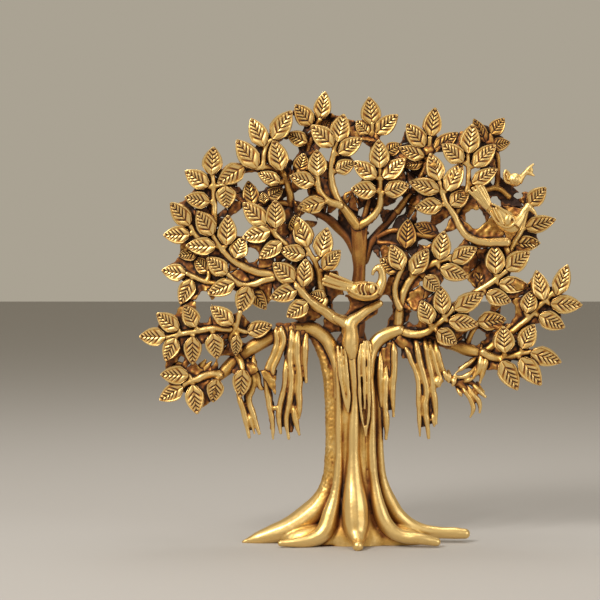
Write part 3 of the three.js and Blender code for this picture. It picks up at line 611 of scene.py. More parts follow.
SPRAYS = [*CROWN_SPRAYS, *TOP_SPRAYS, *UPPER_LEFT_SPRAYS, *LEFT_SPRAYS, *RIGHT_SPRAYS]

# Openings right through the crown: least and greatest x, least and greatest z.
OPENINGS = [
    (-56, -41, 272, 287), (-66, -62, 266, 270), (-84, -63, 249, 263), (-36, -5, 194, 229),
    (-79, -69, 200, 210), (-17, -5, 163, 177), (15, 25, 159, 177), (37, 44, 156, 166),
    (1, 10, 232, 239), (8, 13, 220, 227), (27, 35, 233, 246), (43, 52, 212, 216),
    (76, 90, 224, 237), (92, 102, 238, 246), (94, 100, 254, 264), (111, 117, 245, 249),
    (77, 91, 143, 153), (60, 76, 125, 138), (101, 111, 157, 174), (-113, -102, 157, 180),
    (-125, -121, 130, 134), (-71, -63, 124, 135), (-57, -54, 99, 124), (-34, -24, 90, 136),
    (29, 40, 90, 132), (-135, -128, 155, 158), (106, 116, 120, 131), (44, 58, 182, 188),
]

# ---- Settings shown in the sidebar ----


class TreeSizes(bpy.types.PropertyGroup):
    """Sizes of the casting's details."""

    leaf_thickness: bpy.props.FloatProperty(
        name="Leaf thickness", description="Thickness of a leaf at its rim",
        default=2.6 * MM, min=1 * MM, unit="LENGTH",
    )
    web_reach: bpy.props.FloatProperty(
        name="Web reach", description="Leaves nearer than this are joined by metal behind them",
        default=34 * MM, min=0, unit="LENGTH",
    )
    twig_swell: bpy.props.FloatProperty(
        name="Twig swell", description="How much thicker a twig is than its listed radii",
        default=1.22, min=0.5, max=2,
    )
    vein_depth: bpy.props.FloatProperty(
        name="Vein depth", description="How deep the veins are cut into a leaf",
        default=0.5 * MM, min=0, unit="LENGTH",
    )
    vein_pairs: bpy.props.IntProperty(
        name="Vein pairs", description="Pairs of veins on a leaf", default=5, min=3, max=9,
    )
    wood_voxel: bpy.props.FloatProperty(
        name="Trunk grain", description="Mesh size of the trunk and roots",
        default=0.8 * MM, min=0.4 * MM, unit="LENGTH",
    )
    web_voxel: bpy.props.FloatProperty(
        name="Web grain", description="Mesh size of the metal behind the leaves",
        default=0.7 * MM, min=0.4 * MM, unit="LENGTH",
    )
    bird_voxel: bpy.props.FloatProperty(
        name="Bird grain", description="Mesh size of the birds",
        default=0.34 * MM, min=0.2 * MM, unit="LENGTH",
    )
    twig_voxel: bpy.props.FloatProperty(
        name="Twig grain", description="Mesh size of limbs, twigs and hanging roots",
        default=0.55 * MM, min=0.3 * MM, unit="LENGTH",
    )


class TreeFinish(bpy.types.PropertyGroup):
    """Colours of the antique finish."""

    bright: bpy.props.FloatVectorProperty(
        name="Rubbed brass", description="Colour of the rubbed high places",
        default=(0.88, 0.62, 0.25), subtype="COLOR", min=0, max=1,
    )
    gold: bpy.props.FloatVectorProperty(
        name="Brass", description="Colour of the open faces",
        default=(0.68, 0.41, 0.11), subtype="COLOR", min=0, max=1,
    )
    # Umber and dark patina also colour the painted shade deep in the tree and behind the leaves.
    umber: bpy.props.FloatVectorProperty(
        name="Umber", description="Colour of the thin patina",
        default=(0.3, 0.105, 0.025), subtype="COLOR", min=0, max=1,
    )
    dark: bpy.props.FloatVectorProperty(
        name="Dark patina", description="Colour of the patina left in the grooves",
        default=(0.035, 0.013, 0.006), subtype="COLOR", min=0, max=1,
    )
    rays: bpy.props.IntProperty(
        name="Patina rays", description="Rays cast from each point to find the recesses",
        default=14, min=4, max=64,
    )


def sizes():
    """The sizes set in the sidebar."""
    return bpy.context.scene.tree_sizes


def finish():
    """The colours set in the sidebar."""
    return bpy.context.scene.tree_finish


# ---- Shared mesh tools ----


def deselect():
    """Clears the selection, as every operator works on all that is selected."""
    bpy.ops.object.select_all(action="DESELECT")


def select_only(piece):
    deselect()
    piece.select_set(True)
    bpy.context.view_layer.objects.active = piece


def at(x, y, z):
    """A table's place as a point of the row frame, in metres."""
    return Vector((x, y, z - DATUM_DROP)) * MM


def spread(values, count):
    """The values drawn out evenly to a list of this length."""
    return np.interp(np.linspace(0, len(values) - 1, count), range(len(values)), values)


def bar(places, radii, steps=5, ring=2):
    """A round bar of changing thickness along a smooth path, drawn as a curve and made a mesh."""
    deselect()
    bpy.ops.curve.primitive_bezier_curve_add()
    piece = bpy.context.object
    curve = piece.data
    curve.splines.clear()
    line = curve.splines.new("BEZIER")
    line.bezier_points.add(len(places) - 1)
    for spot, place, radius in zip(line.bezier_points, places, spread(radii, len(places))):
        spot.co = place
        spot.radius = radius
        spot.handle_left_type = spot.handle_right_type = "AUTO"
    line.radius_interpolation = "CARDINAL"
    curve.dimensions = "3D"
    curve.resolution_u = steps
    curve.bevel_depth = MM
    curve.bevel_resolution = ring
    curve.use_fill_caps = True
    bpy.ops.object.convert(target="MESH")
    return bpy.context.object


def rounded_bar(places, radii, steps=5, ring=2):
    """A bar with a rounded first and last end."""
    ends = [ball(places[end], (radii[end],) * 3) for end in (0, -1)]
    return join([bar(places, radii, steps, ring), *ends], "bar")


def ball(place, radii, turn=0.0):
    """An egg shape with these three radii in mm, turned about the front-to-back axis."""
    deselect()
    bpy.ops.mesh.primitive_uv_sphere_add(segments=24, ring_count=14, radius=MM)
    piece = bpy.context.object
    shape = Matrix.Translation(place) @ Matrix.Rotation(turn, 4, "Y") @ Matrix.Diagonal((*radii, 1))
    piece.data.transform(shape)
    return piece


def join(pieces, name):
    """Joins the pieces into the first one."""
    deselect()
    for piece in pieces:
        piece.select_set(True)
    bpy.context.view_layer.objects.active = pieces[0]
    if len(pieces) > 1:
        bpy.ops.object.join()
    pieces[0].name = name
    pieces[0].data.name = name
    return pieces[0]


def apply_modifier(piece, name, kind, **settings):
    """Adds a modifier with these settings and applies it."""
    select_only(piece)
    modifier = piece.modifiers.new(name, kind)
    for key, value in settings.items():
        setattr(modifier, key, value)
    bpy.ops.object.modifier_apply(modifier=modifier.name)


def fuse(pieces, name, voxel, soften=4):
    """Melts overlapping pieces into one skin, as metal runs together in a mould."""
    piece = join(pieces, name)
    apply_modifier(piece, "Fuse", "REMESH", mode="VOXEL", voxel_size=voxel, use_smooth_shade=True)
    apply_modifier(piece, "Soften", "SMOOTH", factor=0.5, iterations=soften)
    return piece


def points_of(mesh):
    """The places and normals of a mesh's points, as two arrays of rows."""
    places = np.empty(len(mesh.vertices) * 3)
    normals = np.empty(len(mesh.vertices) * 3)
    mesh.vertices.foreach_get("co", places)
    mesh.vertices.foreach_get("normal", normals)
    return places.reshape(-1, 3), normals.reshape(-1, 3)


def roughen(piece, height, grain, seed=0.0, share_at=None):
    """Moves the skin in and out by a soft unevenness, everywhere or by a share for each place."""
    places, normals = points_of(piece.data)
    lift = np.array([noise.noise(Vector(place)) for place in places / grain + seed])
    if share_at:
        lift *= share_at(places / MM)
    places += normals * lift[:, None] * height
    piece.data.vertices.foreach_set("co", places.ravel())
    piece.data.update()


def cut_flat(piece):
    """Cuts the piece off level at the table plane and closes it."""
    select_only(piece)
    bpy.ops.object.mode_set(mode="EDIT")
    bpy.ops.mesh.select_all(action="SELECT")
    bpy.ops.mesh.bisect(
        plane_co=(0, 0, 0), plane_no=(0, 0, 1), clear_inner=True, use_fill=True,
    )
    bpy.ops.object.mode_set(mode="OBJECT")


def place_in_tree(piece, slot, *nodes):
    """Gives the piece its body and its finish, and hides the nodes that it stands for."""
    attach(piece, BODY)
    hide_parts(*nodes)
    piece.data.materials.clear()
    piece.data.materials.append(brass(slot))
    return piece


# ---- Finish ----


def brass(slot):
    """The antique brass of a slot: rubbed gold over umber and dark patina in the recesses, with painted
    shade where other pieces of the tree cover a place.
    """
    name = "cast_" + slot
    known = bpy.data.materials.get(name)
    if known:
        return known
    material = bpy.data.materials.new(name)
    material.use_nodes = True
    nodes, links = material.node_tree.nodes, material.node_tree.links
    shader = nodes["Principled BSDF"]
    # Pieces in the rear slot are darker all over.
    rear_darkening = 0.18 if slot == REAR_SLOT else 0.0

    def node(kind, **inputs):
        made = nodes.new(kind)
        for key, value in inputs.items():
            made.inputs[key.replace("_", " ")].default_value = value
        return made

    def maths(operation, a, b, clamp=False):
        made = nodes.new("ShaderNodeMath")
        made.operation = operation
        made.use_clamp = clamp
        for socket, value in zip(made.inputs, (a, b)):
            if isinstance(value, (int, float)):
                socket.default_value = value
            else:
                links.new(value, socket)
        return made.outputs[0]

    def reading(name):
        made = nodes.new("ShaderNodeAttribute")
        made.attribute_name = name
        return made.outputs["Fac"]

    def clouds(scale, detail, roughness=0.5):
        made = node("ShaderNodeTexNoise", Scale=scale, Detail=detail, Roughness=roughness)
        links.new(where.outputs["Object"], made.inputs["Vector"])
        return made.outputs["Fac"]

    def ramp(value, *stops):
        made = nodes.new("ShaderNodeValToRGB")
        bar_ = made.color_ramp
        while len(bar_.elements) < len(stops):
            bar_.elements.new(0.5)
        for element, (position, colour) in zip(bar_.elements, stops):
            element.position = position
            element.color = (*colour, 1)
        links.new(value, made.inputs[0])
        return made.outputs["Color"]

    def share_of(value, low, high):
        made = node("ShaderNodeMapRange", From_Min=low, From_Max=high)
        links.new(value, made.inputs["Value"])
        return made.outputs["Result"]

    where = nodes.new("ShaderNodeTexCoord")
    split = nodes.new("ShaderNodeSeparateXYZ")
    links.new(where.outputs["Object"], split.inputs["Vector"])
    deep_patina_and_shade, groove, ridge, vein = reading("deep_patina_and_shade"), reading("groove"), reading("ridge"), reading("vein")
    blotches = clouds(70, 3)
    specks = clouds(900, 2, 0.6)
    stain = maths("MULTIPLY", maths("SUBTRACT", blotches, 0.5), 0.55)
    speckle = maths("MULTIPLY", maths("SUBTRACT", specks, 0.5), 0.2)
    # Darker for what lies behind the front, except at the roots.
    behind = share_of(split.outputs["Y"], -11 * MM, -1 * MM)
    above = share_of(split.outputs["Z"], 25 * MM, 70 * MM)
    darker_behind = maths("MULTIPLY", maths("MULTIPLY", behind, above), 0.3)
    # Patina and painted shade together: the deep reading is partly painted shade where other pieces cover a
    # place, and on the metal behind the leaves the vein reading is partly a painted shadow.
    depth = maths("ADD", maths("MULTIPLY", deep_patina_and_shade, 1.1), maths("MULTIPLY", groove, 1.5))
    depth = maths("ADD", depth, maths("MULTIPLY", vein, 0.52))
    depth = maths("ADD", maths("ADD", depth, rear_darkening), darker_behind)
    depth = maths("SUBTRACT", depth, maths("MULTIPLY", ridge, 0.35))
    patina = maths("ADD", maths("ADD", depth, stain), speckle, clamp=True)
    # One ramp colours both the patina and the painted shade mixed into it.
    colours = finish()
    colour = ramp(
        patina, (0.0, colours.bright), (0.2, colours.gold), (0.52, colours.umber), (0.85, colours.dark),
    )
    links.new(colour, shader.inputs["Base Color"])
    metal = ramp(patina, (0.35, (1, 1, 1)), (0.85, (0.25, 0.25, 0.25)))
    links.new(metal, shader.inputs["Metallic"])
    gloss = maths("ADD", maths("MULTIPLY", patina, 0.4), maths("MULTIPLY", blotches, 0.12))
    links.new(maths("ADD", gloss, 0.34), shader.inputs["Roughness"])
    skin = maths("ADD", maths("MULTIPLY", specks, 0.5), maths("MULTIPLY", clouds(300, 3), 1.0))
    bump = node("ShaderNodeBump", Strength=0.22, Distance=0.2 * MM)
    links.new(skin, bump.inputs["Height"])
    links.new(bump.outputs["Normal"], shader.inputs["Normal"])
    return material


def unit_directions(count):
    """Directions spread evenly over a ball."""
    golden = math.pi * (3 - math.sqrt(5))
    for i in range(count):
        height = 1 - 2 * (i + 0.5) / count
        across = math.sqrt(1 - height * height)
        yield Vector((across * math.cos(golden * i), across * math.sin(golden * i), height))


def write_reading(mesh, name, values):
    """Stores one value for each point of the mesh, for the finish to read."""
    if name in mesh.attributes:
        mesh.attributes.remove(mesh.attributes[name])
    mesh.attributes.new(name, "FLOAT", "POINT").data.foreach_set("value", values)


def ridges_of(mesh):
    """How far each point stands out from its neighbours, from 0 to 1."""
    count = len(mesh.vertices)
    places, normals = points_of(mesh)
    ends = np.empty(len(mesh.edges) * 2, dtype=np.int32)
    mesh.edges.foreach_get("vertices", ends)
    ends = ends.reshape(-1, 2)
    step = places[ends[:, 0]] - places[ends[:, 1]]
    step /= np.maximum(np.linalg.norm(step, axis=1, keepdims=True), 1e-9)
    total, seen = np.zeros(count), np.zeros(count)
    for side, sign in ((0, 1), (1, -1)):
        lift = np.einsum("ij,ij->i", normals[ends[:, side]], step * sign)
        np.add.at(total, ends[:, side], lift)
        np.add.at(seen, ends[:, side], 1)
    return np.clip(total / np.maximum(seen, 1) * 2.2, 0, 1)


def read_recesses(pieces):
    """Writes how deep in the tree, and how deep in a groove, each point of each piece lies."""
    far, near, lift = 16 * MM, 2.6 * MM, 0.04 * MM
    corners, faces = [], []
    for piece in pieces:
        start = len(corners)
        corners.extend(vertex.co[:] for vertex in piece.data.vertices)
        faces.extend([start + i for i in face.vertices] for face in piece.data.polygons)
    tree = BVHTree.FromPolygons(corners, faces)
    rays = finish().rays
    directions = list(unit_directions(rays))
    for piece in pieces:
        deep_patina_and_shade, groove = [], []
        for vertex in piece.data.vertices:
            start = vertex.co + vertex.normal * lift
            deep = close = 0.0
            for direction in directions:
                ray = vertex.normal + direction
                gap = tree.ray_cast(start, ray, far)[3]
                if gap is not None:
                    deep += 1 - gap / far
                    close += max(0.0, 1 - gap / near)
            deep_patina_and_shade.append(deep / len(directions))
            groove.append(close / len(directions))
        # The deep reading, from the far rays, darkens the finish: partly patina, partly painted shade where
        # other pieces of the tree cover a place.
        write_reading(piece.data, "deep_patina_and_shade", deep_patina_and_shade)
        write_reading(piece.data, "groove", groove)
        write_reading(piece.data, "ridge", ridges_of(piece.data))


# ---- Leaves ----

LEAF_LENGTH = 18 * MM
LEAF_WIDTH = 12.5 * MM
# How much larger each leaf is cast than its row in the tables.
LEAF_GROWTH = 1.05
# Half-width of a leaf along its length, as shares of its half-width and length.
LEAF_ALONG = [0, 0.03, 0.08, 0.15, 0.25, 0.36, 0.5, 0.64, 0.77, 0.88, 0.95, 1]
LEAF_HALVES = [0.06, 0.36, 0.62, 0.82, 0.96, 1, 0.96, 0.82, 0.6, 0.34, 0.16, 0]
# Columns of a leaf from its midrib to its edge, and the height of each in mm.
LEAF_COLUMNS = [0, 0.07, 0.16, 0.42, 0.68, 0.8, 0.87, 0.95, 1]
COLUMN_HEIGHTS = [-0.3, 0.12, 0.26, 0.3, 0.2, 0.02, 0.34, 0.3, -0.35]
# Share of a vein's depth in each column.
VEIN_SHARES = [0.6, 0.8, 1, 1, 0.6, 0.1, 0, 0, 0]
# Shade of the patina in each column where no vein is cut: the midrib's line and the rim's foot.
EDGE_SHADES = [0.75, 0.15, 0, 0, 0.05, 0.3, 0, 0, 0]
# How far a leaf's back lies behind the depth in its table, how thick the web is, and how far
# behind the leaves it lies, in mm.
LEAF_BACK = 1
WEB_THICKNESS = 4
WEB_DROP = 2
# How much of its height the back of a leaf keeps.
BACK_HOLLOW = 0.15
# Where along a leaf the web takes hold of it, and the share of the web's reach from there.
WEB_HOLDS = [(0.35, 1), (0.92, 0.47)]
# Points round an opening's rim, and how far out they lie as a share of its width and height.
RIM_POINTS = 8
RIM_SHARE = 0.54
# How far the leaves lean at random, about their length and across it.
ROLL_SPREAD = math.radians(6)
PITCH_SPREAD = math.radians(4.5)
# Where in each vein's stretch the rows of the mesh lie, and whether they're cut.
VEIN_ROWS = [(0.0, 0), (0.45, 0), (0.62, 1), (0.84, 1)]
VEIN_SLANT = math.radians(46)


def vein_end(start, slant):
    """How far along a vein from the midrib the leaf's outline is, both in metres."""
    reach = 0.0
    half = LEAF_WIDTH / 2
    for step in np.linspace(0, half, 160):
        along = (start + step * math.tan(slant)) / LEAF_LENGTH
        if along >= 1 or step > np.interp(along, LEAF_ALONG, LEAF_HALVES) * half:
            break
        reach = step
    return reach


def leaf_rows():
    """Each row's place on the midrib as a share of the leaf, its slant, and whether it's cut."""
    pairs = sizes().vein_pairs
    low, high = 0.1, 0.86
    rows = [(0.0, 0.0, 0), (0.035, 0.12, 0)]
    for pair in range(pairs):
        for share, cut in VEIN_ROWS:
            along = low + (high - low) * (pair + share) / pairs
            rows.append((along, min(1.0, 0.35 + along * 2.6), cut))
    rows.append((high + 0.03, 1.0, 0))
    rows.append((0.96, 1.0, 0))
    return rows


def leaf_master(name, bend, twist):
    """One veined leaf, along +Y from its base at the origin, with its face towards +Z."""
    rows = leaf_rows()
    columns = len(LEAF_COLUMNS) - 1
    deselect()
    bpy.ops.mesh.primitive_grid_add(
        x_subdivisions=2 * columns, y_subdivisions=len(rows) - 1, size=LEAF_LENGTH,
    )
    leaf = bpy.context.object
    leaf.name = name
    mesh = leaf.data
    wide = 2 * columns + 1
    vein_depth = sizes().vein_depth
    shades = []
    for index, vertex in enumerate(mesh.vertices):
        row, column = divmod(index, wide)
        along, tilt, cut = rows[row]
        place = abs(column - columns)
        side = 1 if column >= columns else -1
        slant = VEIN_SLANT * tilt
        start = along * LEAF_LENGTH
        reach = vein_end(start, slant) * LEAF_COLUMNS[place]
        height = COLUMN_HEIGHTS[place] * MM * min(1, reach / (0.8 * MM) + 0.3)
        shade = EDGE_SHADES[place]
        if cut:
            height -= vein_depth * VEIN_SHARES[place]
            shade = max(shade, VEIN_SHARES[place])
        shades.append(shade)
        y = start + reach * math.tan(slant)
        share = y / LEAF_LENGTH
        height -= bend * share * share
        height += math.sin(twist * side) * reach * share
        vertex.co = (side * reach, y, height)
    mesh.update()
    write_reading(mesh, "vein", shades)
    thicken_leaf(leaf)
    return leaf


def thicken_leaf(leaf):
    """Gives the leaf's face its thickness and a plain, slightly hollow back."""
    select_only(leaf)
    bpy.ops.object.mode_set(mode="EDIT")
    bpy.ops.mesh.select_all(action="SELECT")
    bpy.ops.mesh.remove_doubles(threshold=0.02 * MM)
    bpy.ops.mesh.select_all(action="SELECT")
    bpy.ops.mesh.extrude_region_move(
        TRANSFORM_OT_translate={"value": (0, 0, -sizes().leaf_thickness)},
    )
    bpy.ops.transform.resize(value=(1, 1, BACK_HOLLOW))
    bpy.ops.mesh.select_all(action="SELECT")
    bpy.ops.mesh.normals_make_consistent(inside=False)
    bpy.ops.object.mode_set(mode="OBJECT")
    bpy.ops.object.shade_smooth_by_angle(angle=math.radians(50))


def leaf_place(row, depth, roll, pitch):
    """The matrix that lays the leaf master along a leaf row of the tables."""
    base_x, base_z, tip_x, tip_z, width = row[:5]
    base, tip = at(base_x, depth, base_z), at(tip_x, depth, tip_z)
    along = (tip - base).normalized()
    face = Vector((0, -1, 0))
    across = along.cross(face)
    turn = Matrix((across, along, face)).transposed().to_4x4()
    length = (tip - base).length * LEAF_GROWTH
    stretch = Matrix.Diagonal((width * MM * LEAF_GROWTH / LEAF_WIDTH, length / LEAF_LENGTH, 1, 1))
    lean = Matrix.Rotation(pitch, 4, "X") @ Matrix.Rotation(roll, 4, "Y")
    return Matrix.Translation(base) @ turn @ lean @ stretch


def nearest(places, x, z):
    """The place nearest to x, z in the plane of the crown."""
    return min(places, key=lambda place: math.hypot(place[0] - x, place[2] - z))


def twig_places(row):
    """A twig's path with its depth, in mm."""
    depths = np.linspace(*row["depths"], len(row["path"]))
    return [(x, depth, z) for (x, z), depth in zip(row["path"], depths)]


def points_between(places, count=6):
    """Places along a twig, close enough together to hang a stalk on."""
    spots = []
    for first, last in zip(places, places[1:]):
        for share in np.linspace(0, 1, count, endpoint=False):
            spots.append([a + (b - a) * share for a, b in zip(first, last)])
    return spots + [list(places[-1])]


def stalk(spots, row, depth):
    """The short stalk from the nearest place on a twig to under the leaf's base."""
    base_x, base_z, tip_x, tip_z = row[:4]
    x, y, z = nearest(spots, base_x, base_z)
    end = 0.22
    inside = (base_x + (tip_x - base_x) * end, depth + 0.9, base_z + (tip_z - base_z) * end)
    joint = at(base_x, (y + inside[1]) / 2, base_z)
    return bar([at(x, y, z), joint, at(*inside)], [2, 1.7, 0.9])


def random_lean(rng):
    """A leaf's small roll and pitch."""
    return rng.normal(0, ROLL_SPREAD), rng.normal(0, PITCH_SPREAD)


def depth_of(row, leaf):
    """A leaf's own depth, or its spray's."""
    return leaf[5] if len(leaf) > 5 else row["depth"]


def along_leaf(leaf, share):
    """The [x, z] place this far along a leaf's midrib."""
    return leaf[0] + (leaf[2] - leaf[0]) * share, leaf[1] + (leaf[3] - leaf[1]) * share


def web_points():
    """The places that the web of metal behind the leaves can join: [x, z], depth, owner, reach."""
    points = []
    reach = sizes().web_reach / MM
    for row in SPRAYS:
        for leaf in row["leaves"]:
            back = depth_of(row, leaf) + LEAF_BACK + WEB_DROP + WEB_THICKNESS / 2
            for place, share in WEB_HOLDS:
                points.append((along_leaf(leaf, place), back, row["name"], reach * share))
        for line in row["twigs"]:
            for x, y, z in twig_places(line):
                points.append(((x, z), y + WEB_DROP + 1, row["name"], reach))
    for name, _, lines in LIMBS:
        if name.startswith("limb"):
            for x, y, z in lines[0][0]:
                points.append(((x, z + DATUM_DROP), y + WEB_DROP, None, reach))
    return points


def opening_rims(points):
    """Points round each opening's rim, at the depth of the nearest of the web's points."""
    rims = []
    for low_x, high_x, low_z, high_z in OPENINGS:
        for step in range(RIM_POINTS):
            angle = math.tau * (step + 0.5) / RIM_POINTS
            x = (low_x + high_x) / 2 + (high_x - low_x) * RIM_SHARE * math.cos(angle)
            z = (low_z + high_z) / 2 + (high_z - low_z) * RIM_SHARE * math.sin(angle)
            depth = min(points, key=lambda point: math.dist(point[0], (x, z)))[1]
            rims.append(((x, z), depth, None, sizes().web_reach / MM))
    return rims


def in_opening(x, z):
    """Whether this place of the crown lies in one of its openings."""
    for low_x, high_x, low_z, high_z in OPENINGS:
        across = (x - (low_x + high_x) / 2) / ((high_x - low_x) / 2)
        up = (z - (low_z + high_z) / 2) / ((high_z - low_z) / 2)
        if math.hypot(across, up) < 1:
            return True
    return False


def web_plates():
    """The web of metal behind the leaves: for each spray, triangles of (x, depth, z) corners."""
    points = web_points()
    inner = len(points)
    points.extend(opening_rims(points))
    rims = [
        (start + step, start + (step + 1) % RIM_POINTS)
        for start in range(inner, len(points), RIM_POINTS) for step in range(RIM_POINTS)
    ]
    found = delaunay_2d_cdt([Vector(point[0]) for point in points], rims, [], 0, 0.01)
    places, faces, origins = found[0], found[2], found[3]
    for index, place in enumerate(places):
        if not origins[index]:
            closest = min(range(inner), key=lambda i: math.dist(points[i][0], place))
            origins[index] = [closest]
    plates = {row["name"]: [] for row in SPRAYS}
    for face in faces:
        picked = [points[origins[corner][0]] for corner in face]
        flat = [places[corner] for corner in face]
        middle = sum(flat, Vector((0, 0))) / 3
        owner = min(points[:inner], key=lambda point: math.dist(point[0], middle))[2]
        longest = max(math.dist(flat[i], flat[i - 1]) for i in range(3))
        reach = min(point[3] for point in picked)
        if owner and longest < reach and not in_opening(*middle):
            plates[owner].append([(x, point[1], z) for (x, z), point in zip(flat, picked)])
    return plates


def plate(corners):
    """A three-cornered plate that stands in the plane of the crown."""
    deselect()
    bpy.ops.mesh.primitive_cylinder_add(vertices=3, radius=MM, depth=MM)
    piece = bpy.context.object
    for index, vertex in enumerate(piece.data.vertices):
        x, depth, z = corners[index // 2]
        side = math.copysign(WEB_THICKNESS / 2, vertex.co.z)
        vertex.co = at(x, depth + side, z)
    return piece


def pad(leaf, depth):
    """The rounded lump of metal behind a leaf; its dark finish shows as a painted shadow in the gaps round
    the leaf.
    """
    x, z = along_leaf(leaf, 0.5)
    turn = math.atan2(leaf[2] - leaf[0], leaf[3] - leaf[1])
    half = math.hypot(leaf[2] - leaf[0], leaf[3] - leaf[1]) / 2
    return ball(at(x, depth + LEAF_BACK + 1.4, z), (leaf[4] * 0.42, 2, half * 0.8), turn)


def shade_back(back):
    """The rough metal behind the leaves and the roots is darkened in patches: partly its dark patina,
    partly painted shade in the gaps between them.
    """
    places = points_of(back.data)[0]
    patches = [0.55 + 0.45 * noise.noise(Vector(place)) for place in places / (7 * MM)]
    write_reading(back.data, "vein", patches)


def make_spray(row, masters, rng, plates):
    """One spray: its twigs, stalks and web run together, and its leaves lie on them."""
    wood, spots = [], []
    swell = sizes().twig_swell
    for line in row["twigs"]:
        places = twig_places(line)
        spots.extend(points_between(places))
        first, last = (radius * swell for radius in line["radii"])
        wood.append(rounded_bar([at(*place) for place in places], [first, (first + last) / 2, last]))
    for leaf in row["leaves"]:
        wood.append(stalk(spots, leaf, depth_of(row, leaf)))
    piece = fuse(wood, "cast_" + row["name"], sizes().twig_voxel, 3)
    roughen(piece, 0.4 * MM, 5 * MM)
    # The pads and the web behind the leaves are darkened: partly patina, partly a painted shadow round each
    # leaf.
    metal = [pad(leaf, depth_of(row, leaf)) for leaf in row["leaves"]]
    metal.extend(plate(corners) for corners in plates)
    back = fuse(metal, "web", sizes().web_voxel, 7)
    roughen(back, 1.1 * MM, 3.2 * MM)
    shade_back(back)
    leaves = []
    for leaf in row["leaves"]:
        depth = depth_of(row, leaf)
        master = masters[rng.integers(len(masters))]
        roll, pitch = random_lean(rng)
        made = master.copy()
        made.data = master.data.copy()
        bpy.context.scene.collection.objects.link(made)
        made.data.transform(leaf_place(leaf, depth - 1.0, roll, pitch))
        leaves.append(made)
    join([piece, back, *leaves], piece.name)
    return place_in_tree(piece, row["slot"], row["name"])


# ---- Operators ----


def left_band(places):
    """The bark-like left edge of the trunk, as a share from 0 to 1 for each place in mm."""
    across = np.clip((-15 - places[:, 0]) / 2, 0.12, 1)
    up = np.clip((places[:, 2] - 30) / 12, 0.12, 1)
    return across * up


class MakeTrunk(bpy.types.Operator):
    """Models the ribbed trunk with its floor roots as one skin."""

    bl_idname = "tree.make_trunk"
    bl_label = "Trunk and Roots"

    def execute(self, context):
        bars = []
        for places, radii in TRUNK_RIBS:
            bars.append(rounded_bar([Vector(place) * MM for place in places], radii, steps=8, ring=4))
        core = bar([Vector(place) * MM for place in TRUNK_CORE], CORE_RADII, steps=8, ring=6)
        core.data.transform(Matrix.Diagonal((1, CORE_FLATNESS, 1, 1)))
        swellings = [ball(Vector(place) * MM, radii) for place, radii in FOOT_SWELLINGS]
        trunk = fuse([core, *bars, *swellings], "cast_trunk_and_roots", sizes().wood_voxel, 6)
        roughen(trunk, 0.5 * MM, 22 * MM)
        roughen(trunk, 0.5 * MM, 2 * MM, 5.0, left_band)
        cut_flat(trunk)
        place_in_tree(
            trunk, GOLD_SLOT, "trunk", "root_left", "root_right", "root_front", "root_front_left",
            "root_front_right", "root_back_left", "root_back_right",
        )
        return {"FINISHED"}


class MakeLimbs(bpy.types.Operator):
    """Models the limbs, the fork, the rear trunk and the front flaps."""

    bl_idname = "tree.make_limbs"
    bl_label = "Limbs"

    def execute(self, context):
        for name, slot, lines in LIMBS:
            bars = [
                rounded_bar([Vector(place) * MM for place in places], radii, steps=8, ring=4)
                for places, radii in lines
            ]
            limb = fuse(bars, "cast_" + name, sizes().twig_voxel, 6)
            roughen(limb, 0.6 * MM, 9 * MM)
            place_in_tree(limb, slot, name)
        return {"FINISHED"}


class MakeSprays(bpy.types.Operator):
    """Models every leaf spray: its twigs and stalks, and its veined leaves."""

    bl_idname = "tree.make_sprays"
    bl_label = "Leaf Sprays"

    def execute(self, context):
        rng = np.random.default_rng(7)
        masters = [
            leaf_master("leaf_flat", 0.4 * MM, 0.0),
            leaf_master("leaf_bent", 1.5 * MM, 0.06),
            leaf_master("leaf_twisted", 0.9 * MM, -0.1),
        ]
        plates = web_plates()
        for row in SPRAYS:
            make_spray(row, masters, rng, plates[row["name"]])
        for master in masters:
            bpy.data.objects.remove(master)
        return {"FINISHED"}


class MakeBirds(bpy.types.Operator):
    """Models the three perched birds."""

    bl_idname = "tree.make_birds"
    bl_label = "Birds"

    def execute(self, context):
        for name, parts in BIRDS:
            bodies = []
            for kind, places, radii in parts:
                if kind == "egg":
                    bodies.append(ball(at(*places[0]), radii, places[1]))
                else:
                    bodies.append(bar([at(*place) for place in places], radii, steps=6, ring=3))
            bird = fuse(bodies, "cast_" + name, sizes().bird_voxel, 1)
            place_in_tree(bird, GOLD_SLOT, name)
        return {"FINISHED"}


class MakeAerialRoots(bpy.types.Operator):
    """Models the bundles of aerial roots that hang from the limbs."""

    bl_idname = "tree.make_aerial_roots"
    bl_label = "Aerial Roots"

    def execute(self, context):
        for name, ridges, flats in AERIAL_ROOTS:
            bars = []
            for path, radius in ridges:
                places = [at(x, ROOT_DEPTH, z) for x, z in path]
                places[0].y += 3.4 * MM
                radii = [radius * 0.6] + [radius * ROOT_SWELL] * 4 + [radius * 0.6]
                bars.append(bar(places, radii))
            bundle = fuse(bars, "cast_" + name, sizes().twig_voxel, 2)
            sheets = []
            for path, radius in flats:
                places = [at(x, ROOT_DEPTH + 2.6, z) for x, z in path]
                sheets.append(bar(places, [radius * ROOT_SWELL] * 3 + [radius]))
            back = fuse(sheets, "sheet", sizes().web_voxel, 3)
            roughen(back, 0.8 * MM, 3.2 * MM)
            # The flat metal between the strands is darkened in patches: partly patina, partly painted
            # shade.
            shade_back(back)
            roughen(bundle, 0.4 * MM, 5 * MM)
            join([bundle, back], bundle.name)
            place_in_tree(bundle, GOLD_SLOT, name)
        return {"FINISHED"}


class FinishBrass(bpy.types.Operator):
    """Reads the recesses of the whole tree, so that the patina lies where a cloth can't rub, with painted
    shade where other pieces cover a place.
    """

    bl_idname = "tree.finish_brass"
    bl_label = "Antique Finish"

    def execute(self, context):
        read_recesses(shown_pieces())
        return {"FINISHED"}


